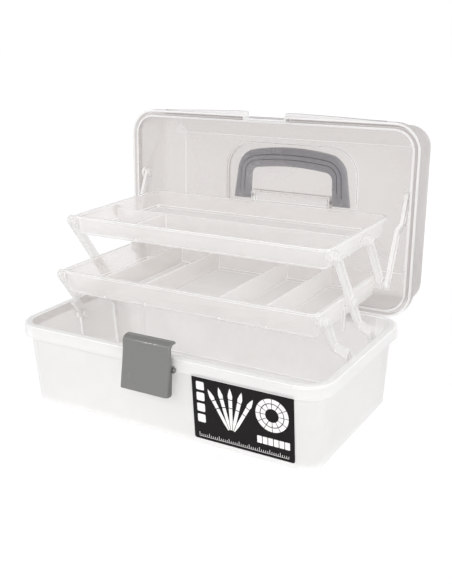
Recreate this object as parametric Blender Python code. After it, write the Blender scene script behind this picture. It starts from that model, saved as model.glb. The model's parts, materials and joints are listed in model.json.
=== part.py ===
# Art supply box: opening the hinged lid lifts two stacked trays out on swinging arms.
# Metres, +Z up. The origin is on the ground under the middle of the base. X runs along the box
# and -Y is the front. The box stands open, as in use: lid up, trays out, carrying handle down.

import bpy
import bmesh
from math import atan2, cos, radians, sin, sqrt
from mathutils import Vector

for leftover in list(bpy.data.objects):
    bpy.data.objects.remove(leftover, do_unlink=True)

# Whole box
BOX_LENGTH = 0.330
BOX_DEPTH = 0.190
RIM_CORNER_RADIUS = 0.027
RIM_HEIGHT = 0.0124
RIM_OVERHANG = 0.0055
RIM_ROUND = 0.003
WALL = 0.0022
SEAT_GAP = 0.0003
SIDE_GAP = 0.0005
CUT_OVERRUN = 0.002
CORNER_STEPS = 8

# Base
BASE_HEIGHT = 0.083
BASE_FLOOR = 0.0025
BASE_DRAW_IN = 0.0048
BASE_FOOT_ROUND = 0.003
BASE_INNER_ROUND = 0.004
STIFFENER_THICKNESS = 0.002
STIFFENER_DEPTH = 0.0018

# Lid, at its closed height over the base
LID_SEAM = 0.0004
LID_HEIGHT = 0.0668
LID_SHOULDER_RADIUS = 0.0108
LID_SHOULDER_STEPS = 3
LID_BEVEL_WIDTH = 0.0105
LID_BEVEL_RISE = 0.007
LID_PANEL_CORNER = 0.004
LID_OPEN_ANGLE = radians(92.5)
GRIP_FLARE = 0.003
GRIP_HEIGHT = 0.008
GRIP_CURVE_SHARE = 0.6
GRIP_END = 0.127
GRIP_FULL = 0.036
NOTCH_WIDTH = 0.0448
NOTCH_DEPTH = 0.0035
CATCH_DEPTH = 0.0024
CATCH_DROP = 0.003

# Lid hinge
HINGE_BEHIND_RIM = 0.00207
HINGE_BELOW_RIM = 0.00767
HINGE_SPACING = 0.190
HINGE_BARREL_RADIUS = 0.004
HINGE_PIN_RADIUS = 0.0015
KNUCKLE_WIDTH = 0.014
HINGE_EAR_WIDTH = 0.005
HINGE_SIDE_GAP = 0.0004

# Swinging arms and their pivots, seen from the side with the box open
ARM_LEAN = radians(35)
ARM_WIDTH = 0.0095
ARM_EYE_RADIUS = 0.0052
ARM_THICKNESS = 0.004
ARM_LAYER_STEP = 0.0085
ARM_JOG_LENGTH = 0.007
LOWER_ARM_LENGTH = 0.0665
UPPER_ARM_LENGTH = 0.062
PIVOT_BELOW_RIM = 0.016
REAR_PIVOT_Y = 0.050
ARM_SPACING = 0.056
REAR_PIVOT_INSET = 0.0086
REAR_ARM_DROP = 0.004
FRONT_JOG = 0.0265
LONG_JOG = 0.030
ARM_SLOT_DEPTH = 0.0012
ARM_EDGE_WIDTH = 0.0018
END_STEPS = 4

# Links that hang from the lid and push the trays
LINK_PIVOT_RISE = 0.0111
LINK_PIVOT_REACH = 0.1212
LINK_THICKNESS = 0.0034
LINK_LAYER_STEP = 0.0036
LINK_JOG = 0.030
LID_BOSS_LENGTH = 0.0023

# Pivot pins
PIN_RADIUS = 0.0018
PIN_HEAD_RADIUS = 0.004
PIN_HEAD_THICKNESS = 0.0013
PIN_CLEARANCE = 0.0003
PIN_DEPTH = 0.003
PIN_SIDES = 12
PIVOT_BOSS_RADIUS = 0.005
BASE_BOSS_LENGTH = 0.0026
OUTER_BOSS_RADIUS = 0.0033
OUTER_BOSS_LENGTH = 0.002

# Trays
TRAY_WALL = 0.002
TRAY_RIM_WIDTH = 0.002
TRAY_RIM_HEIGHT = 0.0025
TRAY_CORNER_RADIUS = 0.010
TRAY_DRAW_IN = 0.0025
TRAY_STEPS = 4
TRAY_FOOT_ROUND = 0.002
LOWER_TRAY_DEPTH = 0.1445
LOWER_TRAY_HEIGHT = 0.0237
LOWER_TRAY_RIM_OVER_PIVOT = 0.0067
LOWER_TRAY_FRONT_OVERHANG = 0.0629
LOWER_TRAY_END_GAP = 0.0014
LOWER_DIVIDER_INNER = 0.0405
LOWER_DIVIDER_OUTER = 0.088
DIVIDER_THICKNESS = 0.0018
DIVIDER_DROP = 0.0012
UPPER_TRAY_DEPTH = 0.1445
UPPER_TRAY_HEIGHT = 0.0195
UPPER_TRAY_RIM_OVER_PIVOT = 0.0062
UPPER_TRAY_FRONT_OVERHANG = 0.0058
UPPER_TRAY_END_GAP = 0.0022
LONG_DIVIDER_Y = 0.0555
LONG_DIVIDER_START = 0.0145
CROSS_DIVIDER_X = -0.064
TRAY_STOP_REACH = 0.0275
TRAY_STOP_WIDTH = 0.005
TRAY_STOP_TIP_WIDTH = 0.0028
TRAY_STOP_THICKNESS = 0.0022

# Latch
LATCH_WIDTH = 0.0516
LATCH_TONGUE_WIDTH = 0.044
LATCH_WALL = 0.0022
LATCH_FLANGE = 0.002
LATCH_PIVOT_OUT = 0.0045
LATCH_PIVOT_BELOW_RIM = 0.009
LATCH_KNEE_OUT = 0.007
LATCH_FACE_TOP_OUT = 0.004
LATCH_FACE_TOP_RISE = 0.0215
LATCH_CURL = 0.0032
LATCH_BOTTOM_OUT = 0.011
LATCH_BOTTOM_DROP = 0.0225
LATCH_KNEE_DROP = 0.002
LATCH_HOOK_REACH = 0.0061
LATCH_HOOK_THICKNESS = 0.003
LATCH_HOOK_DROP = 0.0045
LATCH_FLANGE_DEPTH = 0.009
LATCH_FLANGE_TOP_DEPTH = 0.0024
LATCH_EAR_RADIUS = 0.004
LATCH_LUG_SPACING = 0.038
LATCH_LUG_WIDTH = 0.004
LATCH_PIN_HEAD_RADIUS = 0.0026
LATCH_PIN_HEAD_THICKNESS = 0.0009

# Carrying handle and its place in the lid's panel
RECESS_DEPTH = 0.004
RECESS_LENGTH = 0.154
RECESS_FRONT = 0.0583
RECESS_BACK = 0.0075
RECESS_CORNER_RADIUS = 0.028
HINGE_BLOCK_LENGTH = 0.0965
HINGE_BLOCK_FRONT = 0.0072
HINGE_BLOCK_RISE = 0.004
HANDLE_THICKNESS = 0.008
HANDLE_FOOT_OUTER = 0.070
HANDLE_FOOT_INNER = 0.0505
HANDLE_NECK_OUTER = 0.0655
HANDLE_NECK_INNER = 0.0495
HANDLE_FRONT = 0.0558
HANDLE_BAR_WIDTH = 0.0205
HANDLE_ARCH = 0.002
HANDLE_OUTER_RADIUS = 0.021
HANDLE_INNER_RADIUS = 0.008
HANDLE_EDGE_ROUND = 0.002
HANDLE_PIVOT_Y = -0.0008
HANDLE_FOOT_REACH = 0.004
HANDLE_CORNER_STEPS = 6
HANDLE_ARCH_STEPS = 6
HANDLE_PIN_RADIUS = 0.0015
HANDLE_PIN_IN_FOOT = 0.010
HANDLE_PIN_IN_BLOCK = 0.0015

# Front label
LABEL_WIDTH = 0.099
LABEL_BELOW_SKIRT = 0.0006
LABEL_CENTRE_X = 0.087
LABEL_BOTTOM = 0.007
LABEL_THICKNESS = 0.0004
LABEL_CORNER_RADIUS = 0.0018

# Places worked out from the sizes above
RIM_INSET = RIM_OVERHANG + WALL
BASE_FLOOR_INSET = RIM_OVERHANG + BASE_DRAW_IN
LABEL_HEIGHT = BASE_HEIGHT - RIM_HEIGHT - LABEL_BELOW_SKIRT - LABEL_BOTTOM
LID_BOTTOM = BASE_HEIGHT + LID_SEAM
LID_TOP = LID_BOTTOM + LID_HEIGHT
HINGE_Y = BOX_DEPTH / 2 + HINGE_BEHIND_RIM
HINGE_Z = BASE_HEIGHT - HINGE_BELOW_RIM
HINGE = Vector((0, HINGE_Y, HINGE_Z))


def side_turn(point, centre, angle):
    """Turn a point about the X line through a centre, counter-clockwise seen from +X."""
    reach = point - centre
    y = reach.y * cos(angle) - reach.z * sin(angle)
    z = reach.y * sin(angle) + reach.z * cos(angle)
    return centre + Vector((reach.x, y, z))


def arm_end(pivot, length, lean):
    """The far end of an arm that leans forward from the vertical."""
    return pivot + Vector((0, -length * sin(lean), length * cos(lean)))


def wall_inset_at(height):
    """How far the base's outer wall lies inside the rim at a height."""
    drop_share = (BASE_HEIGHT - height) / (BASE_HEIGHT - BASE_FOOT_ROUND)
    return RIM_OVERHANG + BASE_DRAW_IN * drop_share


PIVOT_HEIGHT = BASE_HEIGHT - PIVOT_BELOW_RIM
REAR_ARM_SPACING = LOWER_TRAY_DEPTH - LOWER_TRAY_FRONT_OVERHANG - REAR_PIVOT_INSET
BASE_REAR_PIVOT = Vector((0, REAR_PIVOT_Y, PIVOT_HEIGHT))
BASE_FRONT_PIVOT = Vector((0, REAR_PIVOT_Y - ARM_SPACING, PIVOT_HEIGHT))
LOWER_MID_PIVOT = arm_end(BASE_REAR_PIVOT, LOWER_ARM_LENGTH, ARM_LEAN)
LOWER_FRONT_PIVOT = LOWER_MID_PIVOT - Vector((0, ARM_SPACING, 0))
REAR_ARM_OFFSET = Vector((0, REAR_ARM_SPACING, -REAR_ARM_DROP))
LOWER_REAR_PIVOT = LOWER_MID_PIVOT + REAR_ARM_OFFSET
UPPER_FRONT_PIVOT = arm_end(LOWER_MID_PIVOT, UPPER_ARM_LENGTH, ARM_LEAN)
UPPER_REAR_PIVOT = UPPER_FRONT_PIVOT + REAR_ARM_OFFSET
LINK_PIVOT_CLOSED = Vector((0, HINGE_Y - LINK_PIVOT_REACH, LID_BOTTOM + LINK_PIVOT_RISE))
LINK_PIVOT = side_turn(LINK_PIVOT_CLOSED, HINGE, -LID_OPEN_ANGLE)
LINK_LENGTH = (LINK_PIVOT - LOWER_REAR_PIVOT).length
LINK_LEAN = atan2(LINK_PIVOT.y - LOWER_REAR_PIVOT.y, LINK_PIVOT.z - LOWER_REAR_PIVOT.z)

# Layers across the box, as distances from the middle: wall, boss, arm, head, link
BASE_BOSS_X = BOX_LENGTH / 2 - wall_inset_at(PIVOT_HEIGHT) - WALL - BASE_BOSS_LENGTH
LOW_LAYER_X = BASE_BOSS_X - SIDE_GAP
HIGH_LAYER_X = LOW_LAYER_X - ARM_LAYER_STEP
TRAY_BOSS_X = HIGH_LAYER_X - ARM_THICKNESS - SEAT_GAP
PIN_HEAD_X = HIGH_LAYER_X + SEAT_GAP + PIN_HEAD_THICKNESS
LINK_LOW_X = PIN_HEAD_X + SIDE_GAP + LINK_THICKNESS
LINK_HIGH_X = LINK_LOW_X + LINK_LAYER_STEP
LID_WALL_X = BOX_LENGTH / 2 - RIM_INSET
LOWER_TRAY_LENGTH = 2 * (TRAY_BOSS_X - LOWER_TRAY_END_GAP)
UPPER_TRAY_LENGTH = 2 * (TRAY_BOSS_X - UPPER_TRAY_END_GAP)

LATCH_PIVOT = Vector((0, -BOX_DEPTH / 2 - LATCH_PIVOT_OUT, BASE_HEIGHT - LATCH_PIVOT_BELOW_RIM))
RECESS_FLOOR_Z = LID_TOP - RECESS_DEPTH
HANDLE_PIVOT = Vector((0, HANDLE_PIVOT_Y, RECESS_FLOOR_Z + SEAT_GAP + HANDLE_THICKNESS / 2))


def make_material(name, colour, roughness, metallic=0.0, alpha=1.0):
    material = bpy.data.materials.new(name)
    material.use_nodes = True
    shader = material.node_tree.nodes["Principled BSDF"]
    shader.inputs["Base Color"].default_value = (*colour, 1.0)
    shader.inputs["Roughness"].default_value = roughness
    shader.inputs["Metallic"].default_value = metallic
    shader.inputs["Alpha"].default_value = alpha
    return material


BASE_PLASTIC = make_material("base_plastic", (0.90, 0.90, 0.90), 0.45, alpha=0.8)
LID_PLASTIC = make_material("lid_plastic", (0.85, 0.84, 0.83), 0.45, alpha=0.8)
TRAY_PLASTIC = make_material("tray_plastic", (0.86, 0.86, 0.85), 0.4, alpha=0.8)
ARM_PLASTIC = make_material("arm_plastic", (0.92, 0.92, 0.92), 0.4)
PIN_PLASTIC = make_material("pin_plastic", (0.94, 0.94, 0.94), 0.4)
LATCH_PLASTIC = make_material("latch_plastic", (0.20, 0.20, 0.20), 0.35)
HANDLE_PLASTIC = make_material("handle_plastic", (0.24, 0.25, 0.27), 0.4)
PIN_STEEL = make_material("pin_steel", (0.35, 0.35, 0.36), 0.3, metallic=1.0)
LABEL_PAPER = make_material("label_paper", (0.02, 0.02, 0.02), 0.35)


def add_empty(name, location, parent=None, turn=0.0):
    """An empty on a joint's axis, turned about X."""
    empty = bpy.data.objects.new(name, None)
    bpy.context.scene.collection.objects.link(empty)
    empty.parent = parent
    empty.location = location
    empty.rotation_euler = (turn, 0, 0)
    return empty


def add_solid(name, mesh, material, parent=None, location=(0, 0, 0)):
    """A named solid from a finished mesh."""
    data = bpy.data.meshes.new(name)
    mesh.to_mesh(data)
    mesh.free()
    data.materials.append(material)
    data.shade_smooth()
    data.set_sharp_from_angle(angle=radians(35))
    solid = bpy.data.objects.new(name, data)
    bpy.context.scene.collection.objects.link(solid)
    solid.parent = parent
    solid.location = location
    return solid


def change(solid, operation, meshes):
    """Join meshes to a solid or cut them out of it; the meshes share the solid's own frame."""
    for mesh in meshes:
        name = f"{solid.name}.{operation.lower()}.{len(solid.modifiers)}"
        tool_data = bpy.data.meshes.new(name)
        mesh.to_mesh(tool_data)
        mesh.free()
        tool = bpy.data.objects.new(name, tool_data)
        bpy.context.scene.collection.objects.link(tool)
        tool.parent = solid
        tool.hide_render = True
        tool.display_type = "WIRE"
        modifier = solid.modifiers.new(name, "BOOLEAN")
        modifier.operation = operation
        modifier.object = tool


def loft(rings):
    """One closed body through rings with the same number of points, capped at both ends."""
    mesh = bmesh.new()
    rows = [[mesh.verts.new(point) for point in ring] for ring in rings]
    for lower, upper in zip(rows, rows[1:]):
        for index in range(len(lower)):
            after = (index + 1) % len(lower)
            mesh.faces.new((lower[index], lower[after], upper[after], upper[index]))
    mesh.faces.new(list(reversed(rows[0])))
    mesh.faces.new(rows[-1])
    bmesh.ops.recalc_face_normals(mesh, faces=mesh.faces)
    return mesh


def side_prism(outline, x_from, x_to):
    """A solid with a (y, z) outline between two places along the box."""
    return loft([[Vector((x, y, z)) for y, z in outline] for x in (x_from, x_to)])


def plan_prism(outline, z_from, z_to):
    """A solid with an (x, y) outline between two heights."""
    return loft([[Vector((x, y, z)) for x, y in outline] for z in (z_from, z_to)])


def box(low, high):
    """A block between two corners."""
    outline = ((low[0], low[1]), (high[0], low[1]), (high[0], high[1]), (low[0], high[1]))
    return plan_prism(outline, low[2], high[2])


def arc(centre, radius, start, end, steps):
    """Points of an arc in any plane, with both of its ends."""
    angles = [start + (end - start) * step / steps for step in range(steps + 1)]
    return [(centre[0] + radius * cos(a), centre[1] + radius * sin(a)) for a in angles]


def rounded_ring(length, depth, radius, height, centre_y=0.0, steps=CORNER_STEPS):
    """A level rounded rectangle, counter-clockwise from above."""
    points = []
    for quarter, (side_x, side_y) in enumerate(((1, 1), (-1, 1), (-1, -1), (1, -1))):
        centre = (side_x * (length / 2 - radius), centre_y + side_y * (depth / 2 - radius))
        start = radians(90) * quarter
        points += arc(centre, radius, start, start + radians(90), steps)
    return [Vector((x, y, height)) for x, y in points]


def turned_x(stations, y, z, sides=PIN_SIDES):
    """A round body about a line along X, from (x, radius) stations."""
    turn = radians(360) / sides
    rings = []
    for x, radius in stations:
        rings.append([Vector((x, y + radius * cos(turn * (i + 0.5)), z + radius * sin(turn * (i + 0.5))))
                      for i in range(sides)])
    return loft(rings)


def disc(x_from, x_to, radius, place, sides=PIN_SIDES):
    """A plain round boss or bore about a pivot."""
    return turned_x(((x_from, radius), (x_to, radius)), place.y, place.z, sides)


def box_ring(inset, height, radius=None):
    """A ring a given distance inside the box's rim."""
    if radius is None:
        radius = RIM_CORNER_RADIUS - inset
    return rounded_ring(BOX_LENGTH - 2 * inset, BOX_DEPTH - 2 * inset, radius, height)


def quarter_round(inset, height, radius, rising):
    """Three steps of a small quarter round, as (inset, height) from a vertical to a level face."""
    angles = [radians(90) * step / 2 for step in range(3)]
    return [(inset + radius * (1 - cos(a)), height + rising * radius * sin(a)) for a in angles]


# Base: one moulded tub with a skirted rim, bosses for the arms, ears for the hinge and the latch
def base_profile():
    foot = quarter_round(BASE_FLOOR_INSET, BASE_FOOT_ROUND, BASE_FOOT_ROUND, -1)
    rim = quarter_round(0, BASE_HEIGHT - RIM_ROUND, RIM_ROUND, 1)
    inner = quarter_round(BASE_FLOOR_INSET + WALL, BASE_FLOOR + BASE_INNER_ROUND, BASE_INNER_ROUND, -1)
    skirt_foot = BASE_HEIGHT - RIM_HEIGHT
    skirt = [(RIM_OVERHANG, BASE_HEIGHT - WALL), (WALL, BASE_HEIGHT - WALL),
             (WALL, skirt_foot), (0, skirt_foot)]
    return foot[::-1] + skirt + rim + [(RIM_INSET, BASE_HEIGHT)] + inner


def hinge_ear(x_from, x_to):
    """An ear behind the rim, round about the hinge line."""
    root_y = BOX_DEPTH / 2 - WALL / 2
    low = HINGE_Z - HINGE_BARREL_RADIUS
    high = HINGE_Z + HINGE_BARREL_RADIUS
    nose = arc((HINGE_Y, HINGE_Z), HINGE_BARREL_RADIUS, -radians(90), radians(90), 8)
    return side_prism(nose + [(root_y, high), (root_y, low)], x_from, x_to)


def latch_lug(x_from, x_to):
    """A lug in front of the rim, round about the latch's pivot."""
    root_y = -BOX_DEPTH / 2 + WALL / 2
    radius = LATCH_EAR_RADIUS
    nose = arc((LATCH_PIVOT.y, LATCH_PIVOT.z), radius, radians(90), radians(270), 8)
    root = [(root_y, LATCH_PIVOT.z - radius), (root_y, LATCH_PIVOT.z + radius)]
    return side_prism(nose + root, x_from, x_to)


def make_base():
    base = add_solid("base_box", loft([box_ring(*place) for place in base_profile()]), BASE_PLASTIC)
    additions = []
    cuts = []
    rib_foot = BASE_FLOOR + BASE_INNER_ROUND
    for side in (-1, 1):
        for pivot in (BASE_FRONT_PIVOT, BASE_REAR_PIVOT):
            wall_x = BOX_LENGTH / 2 - wall_inset_at(PIVOT_HEIGHT)
            in_wall = wall_x - WALL / 2
            foot_x = BOX_LENGTH / 2 - wall_inset_at(rib_foot) - WALL / 2
            rib_y = (pivot.y - STIFFENER_THICKNESS / 2, pivot.y + STIFFENER_THICKNESS / 2)
            rib_top = PIVOT_HEIGHT - PIVOT_BOSS_RADIUS / 2
            rib = [[Vector((side * x, y, z)) for x, z in
                    ((in_wall, rib_top), (in_wall - WALL / 2 - STIFFENER_DEPTH, rib_top),
                     (foot_x - WALL / 2 - STIFFENER_DEPTH, rib_foot), (foot_x, rib_foot))] for y in rib_y]
            additions.append(loft(rib))
            additions.append(disc(side * in_wall, side * BASE_BOSS_X, PIVOT_BOSS_RADIUS, pivot, 16))
            outer_x = wall_x + OUTER_BOSS_LENGTH
            additions.append(disc(side * in_wall, side * outer_x, OUTER_BOSS_RADIUS, pivot))
            bore = (side * (BASE_BOSS_X - CUT_OVERRUN), side * (outer_x + CUT_OVERRUN))
            cuts.append(disc(*bore, PIN_RADIUS + PIN_CLEARANCE, pivot))
        station = side * HINGE_SPACING / 2
        inner = KNUCKLE_WIDTH / 2 + HINGE_SIDE_GAP
        outer = inner + HINGE_EAR_WIDTH
        for ear_side in (-1, 1):
            additions.append(hinge_ear(station + ear_side * inner, station + ear_side * outer))
        notch_front = BOX_DEPTH / 2 - RIM_OVERHANG + HINGE_SIDE_GAP
        notch_low = (station - inner, notch_front, BASE_HEIGHT - RIM_HEIGHT - CUT_OVERRUN)
        notch_high = (station + inner, HINGE_Y + CUT_OVERRUN, BASE_HEIGHT + CUT_OVERRUN)
        cuts.append(box(notch_low, notch_high))
        bore_x = (station - outer - CUT_OVERRUN, station + outer + CUT_OVERRUN)
        cuts.append(disc(*bore_x, HINGE_PIN_RADIUS + PIN_CLEARANCE, HINGE))
        lug = side * LATCH_LUG_SPACING / 2
        additions.append(latch_lug(lug - LATCH_LUG_WIDTH / 2, lug + LATCH_LUG_WIDTH / 2))
    lug_reach = (LATCH_LUG_SPACING + LATCH_LUG_WIDTH) / 2 + CUT_OVERRUN
    cuts.append(disc(-lug_reach, lug_reach, PIN_RADIUS + PIN_CLEARANCE, LATCH_PIVOT))
    change(base, "UNION", additions)
    change(base, "DIFFERENCE", cuts)


# Lid: a shallow moulded cover with a skirted rim, a raised panel and a shallow handle recess
def lid_profile():
    shoulder_z = LID_TOP - WALL - LID_BEVEL_RISE - LID_SHOULDER_RADIUS
    shoulder_inset = RIM_INSET + LID_SHOULDER_RADIUS
    turns = [radians(90) * step / LID_SHOULDER_STEPS for step in range(LID_SHOULDER_STEPS + 1)]

    def shoulder(radius):
        return [(shoulder_inset - radius * cos(a), shoulder_z + radius * sin(a)) for a in turns]

    panel_inset = shoulder_inset + LID_BEVEL_WIDTH
    rim_top = LID_BOTTOM + RIM_HEIGHT
    rim = quarter_round(0, rim_top - RIM_ROUND, RIM_ROUND, 1)
    outer = [(panel_inset, LID_TOP)] + shoulder(LID_SHOULDER_RADIUS + WALL)[::-1]
    outer += [(RIM_OVERHANG, rim_top)] + rim[::-1]
    skirt = [(0, LID_BOTTOM), (WALL, LID_BOTTOM), (WALL, rim_top - WALL), (RIM_OVERHANG, rim_top - WALL)]
    lip = [(RIM_OVERHANG, LID_BOTTOM), (RIM_INSET, LID_BOTTOM)]
    inner = shoulder(LID_SHOULDER_RADIUS) + [(panel_inset, LID_TOP - WALL)]
    return outer + skirt + lip + inner


def finger_grip(side):
    """A flared grip on the lid's front rim, deepest beside the notch."""
    face = -BOX_DEPTH / 2
    root = face + WALL / 2
    halfway = (GRIP_END + GRIP_FULL) / 2
    lip = face - GRIP_FLARE
    outline = [(NOTCH_WIDTH / 2, root), (NOTCH_WIDTH / 2, lip), (GRIP_FULL, lip),
               (halfway, face - GRIP_CURVE_SHARE * GRIP_FLARE), (GRIP_END, face), (GRIP_END, root)]
    low = LID_BOTTOM + (RIM_HEIGHT - GRIP_HEIGHT) / 2
    return plan_prism([(side * x, y) for x, y in outline], low, low + GRIP_HEIGHT)


def recess_outline(grow):
    """Plan of the handle recess, with a bay on each side of the hinge block."""
    half = RECESS_LENGTH / 2 + grow
    front = -RECESS_FRONT - grow
    back = RECESS_BACK + grow
    block = HINGE_BLOCK_LENGTH / 2 - grow
    ledge = -HINGE_BLOCK_FRONT + grow
    radius = RECESS_CORNER_RADIUS + grow
    left = arc((-half + radius, front + radius), radius, radians(180), radians(270), 6)
    right = arc((half - radius, front + radius), radius, radians(270), radians(360), 6)
    right += [(half, back), (block, back), (block, ledge)]
    return left + right + [(-block, ledge), (-block, back), (-half, back)]


def make_lid(hinge):
    shell = loft([lid_ring(*place) for place in lid_profile()])
    lid = add_solid("lid_shell", to_hinge(shell), LID_PLASTIC, hinge)
    additions = [finger_grip(-1), finger_grip(1)]
    cuts = []
    face = -BOX_DEPTH / 2
    catch_half = NOTCH_WIDTH / 2 + WALL
    catch_low = (-catch_half, face + WALL / 2, LID_BOTTOM + WALL / 4)
    catch_high = (catch_half, face + RIM_OVERHANG + WALL / 2, LID_BOTTOM + RIM_HEIGHT - WALL / 2)
    additions.append(box(catch_low, catch_high))
    notch_front = face - GRIP_FLARE - CUT_OVERRUN
    notch_floor = face + NOTCH_DEPTH
    rim_top = LID_BOTTOM + RIM_HEIGHT
    cuts.append(box((-NOTCH_WIDTH / 2, notch_front, LID_BOTTOM - CUT_OVERRUN),
                    (NOTCH_WIDTH / 2, notch_floor, rim_top + CUT_OVERRUN)))
    cuts.append(box((-NOTCH_WIDTH / 2, notch_front, rim_top - CATCH_DROP),
                    (NOTCH_WIDTH / 2, notch_floor + CATCH_DEPTH, rim_top + CUT_OVERRUN)))
    tub_floor = RECESS_FLOOR_Z - WALL
    additions.append(plan_prism(recess_outline(WALL), tub_floor, LID_TOP - WALL / 2))
    cuts.append(plan_prism(recess_outline(0), RECESS_FLOOR_Z, LID_TOP + CUT_OVERRUN))
    block_half = HINGE_BLOCK_LENGTH / 2
    block_top = LID_TOP + HINGE_BLOCK_RISE
    block_low = (-block_half, -HINGE_BLOCK_FRONT, LID_TOP - WALL / 2)
    additions.append(box(block_low, (block_half, RECESS_BACK, block_top)))
    cuts.append(box((-block_half + 2 * WALL, -HINGE_BLOCK_FRONT + WALL, LID_TOP - WALL - CUT_OVERRUN),
                    (block_half - 2 * WALL, RECESS_BACK - WALL, block_top - WALL)))
    for side in (-1, 1):
        additions.append(disc(side * (LID_WALL_X + WALL / 2), side * (LID_WALL_X - LID_BOSS_LENGTH),
                              PIVOT_BOSS_RADIUS, LINK_PIVOT_CLOSED, 16))
        bore_depth = LID_WALL_X + WALL - CUT_OVERRUN / 2
        cuts.append(disc(side * (LID_WALL_X - LID_BOSS_LENGTH - CUT_OVERRUN), side * bore_depth,
                         PIN_RADIUS + PIN_CLEARANCE, LINK_PIVOT_CLOSED))
        foot = side * (block_half - HANDLE_PIN_IN_BLOCK - SEAT_GAP)
        mouth = side * (block_half + CUT_OVERRUN)
        cuts.append(disc(foot, mouth, HANDLE_PIN_RADIUS + PIN_CLEARANCE, HANDLE_PIVOT))
        additions.append(knuckle(side * HINGE_SPACING / 2))
        bore = KNUCKLE_WIDTH / 2 + CUT_OVERRUN
        station = side * HINGE_SPACING / 2
        cuts.append(disc(station - bore, station + bore, HINGE_PIN_RADIUS + PIN_CLEARANCE, HINGE))
    change(lid, "UNION", [to_hinge(mesh) for mesh in additions])
    change(lid, "DIFFERENCE", [to_hinge(mesh) for mesh in cuts])


def lid_ring(inset, height):
    """A ring of the lid; the panel's corners stay sharper than the wall's."""
    return box_ring(inset, height, max(RIM_CORNER_RADIUS - inset, LID_PANEL_CORNER))


def to_hinge(mesh):
    """Move a mesh made in the closed box's place to the frame of the lid's hinge."""
    bmesh.ops.translate(mesh, vec=-HINGE, verts=mesh.verts)
    return mesh


def knuckle(station):
    """The lid's hinge tab, from its rear rim down to a barrel about the hinge line."""
    front = BOX_DEPTH / 2 - RIM_OVERHANG + 3 * HINGE_SIDE_GAP
    root_z = LID_BOTTOM + RIM_HEIGHT / 2
    back = BOX_DEPTH / 2 - WALL / 2
    nose = arc((HINGE_Y, HINGE_Z), HINGE_BARREL_RADIUS, radians(190), radians(400), 10)
    outline = nose + [(back, LID_BOTTOM + WALL), (back, root_z), (front, root_z), (front, HINGE_Z)]
    return side_prism(outline, station - KNUCKLE_WIDTH / 2, station + KNUCKLE_WIDTH / 2)


# Arms: flat bars with round eyes that step from one layer to another beside the trays
def bar(side, length, stations, thickness):
    """A bar up its own +Z from the first eye's centre; stations are (height, outer face)."""
    rows = []
    for step in range(END_STEPS):
        turn = radians(90) * (step + 0.5) / END_STEPS
        rows.append((-ARM_EYE_RADIUS * cos(turn), ARM_EYE_RADIUS * sin(turn), stations[0][1]))
    rows += [(height, ARM_WIDTH / 2, outer) for height, outer in stations]
    for step in reversed(range(END_STEPS)):
        turn = radians(90) * (step + 0.5) / END_STEPS
        rows.append((length + ARM_EYE_RADIUS * cos(turn), ARM_EYE_RADIUS * sin(turn), stations[-1][1]))
    rings = []
    for height, half_width, outer in rows:
        corners = ((outer, -half_width), (outer, half_width), (outer - thickness, half_width),
                   (outer - thickness, -half_width))
        rings.append([Vector((side * x, y, height)) for x, y in corners])
    return loft(rings)


def slot(side, outer, z_from, z_to):
    """A shallow channel in a bar's outer face."""
    half = ARM_WIDTH / 2 - ARM_EDGE_WIDTH
    low = (min(side * (outer - ARM_SLOT_DEPTH), side * (outer + CUT_OVERRUN)), -half, z_from)
    high = (max(side * (outer - ARM_SLOT_DEPTH), side * (outer + CUT_OVERRUN)), half, z_to)
    return box(low, high)


def make_arm(name, pivot, side, length, eyes, jog, slots, layers, thickness, turn, parent=None):
    """An arm that swings about its pivot; the far end lies up its own +Z when length is positive."""
    low_x, high_x = layers
    if jog is None:
        stations = [(0, low_x), (length, low_x)]
    else:
        stations = [(0, low_x), (jog - ARM_JOG_LENGTH / 2, low_x),
                    (jog + ARM_JOG_LENGTH / 2, high_x), (length, high_x)]
    joint = add_empty(f"{name}_pivot", pivot, parent, turn)
    arm = add_solid(name, bar(side, length, stations, thickness), ARM_PLASTIC, joint)
    cuts = []
    for eye, radius in eyes:
        reach = (side * (max(layers) + CUT_OVERRUN), side * (min(layers) - thickness - CUT_OVERRUN))
        cuts.append(disc(*reach, radius, Vector((0, 0, eye))))
    for z_from, z_to, outer in slots:
        cuts.append(slot(side, outer, z_from, z_to))
    change(arm, "DIFFERENCE", cuts)
    return joint


def make_pin(name, side, place, from_x, head_x, parent=None, material=None, radius=PIN_RADIUS,
             head_radius=PIN_HEAD_RADIUS, head_thickness=PIN_HEAD_THICKNESS):
    """A headed pivot pin; its shank starts at from_x and its head stands beyond head_x."""
    outward = 1 if head_x > from_x else -1
    stations = ((from_x, radius), (head_x, radius), (head_x, head_radius),
                (head_x + outward * head_thickness, head_radius))
    mesh = turned_x([(side * x, r) for x, r in stations], 0, 0)
    return add_solid(name, mesh, material or PIN_PLASTIC, parent, place)


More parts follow.
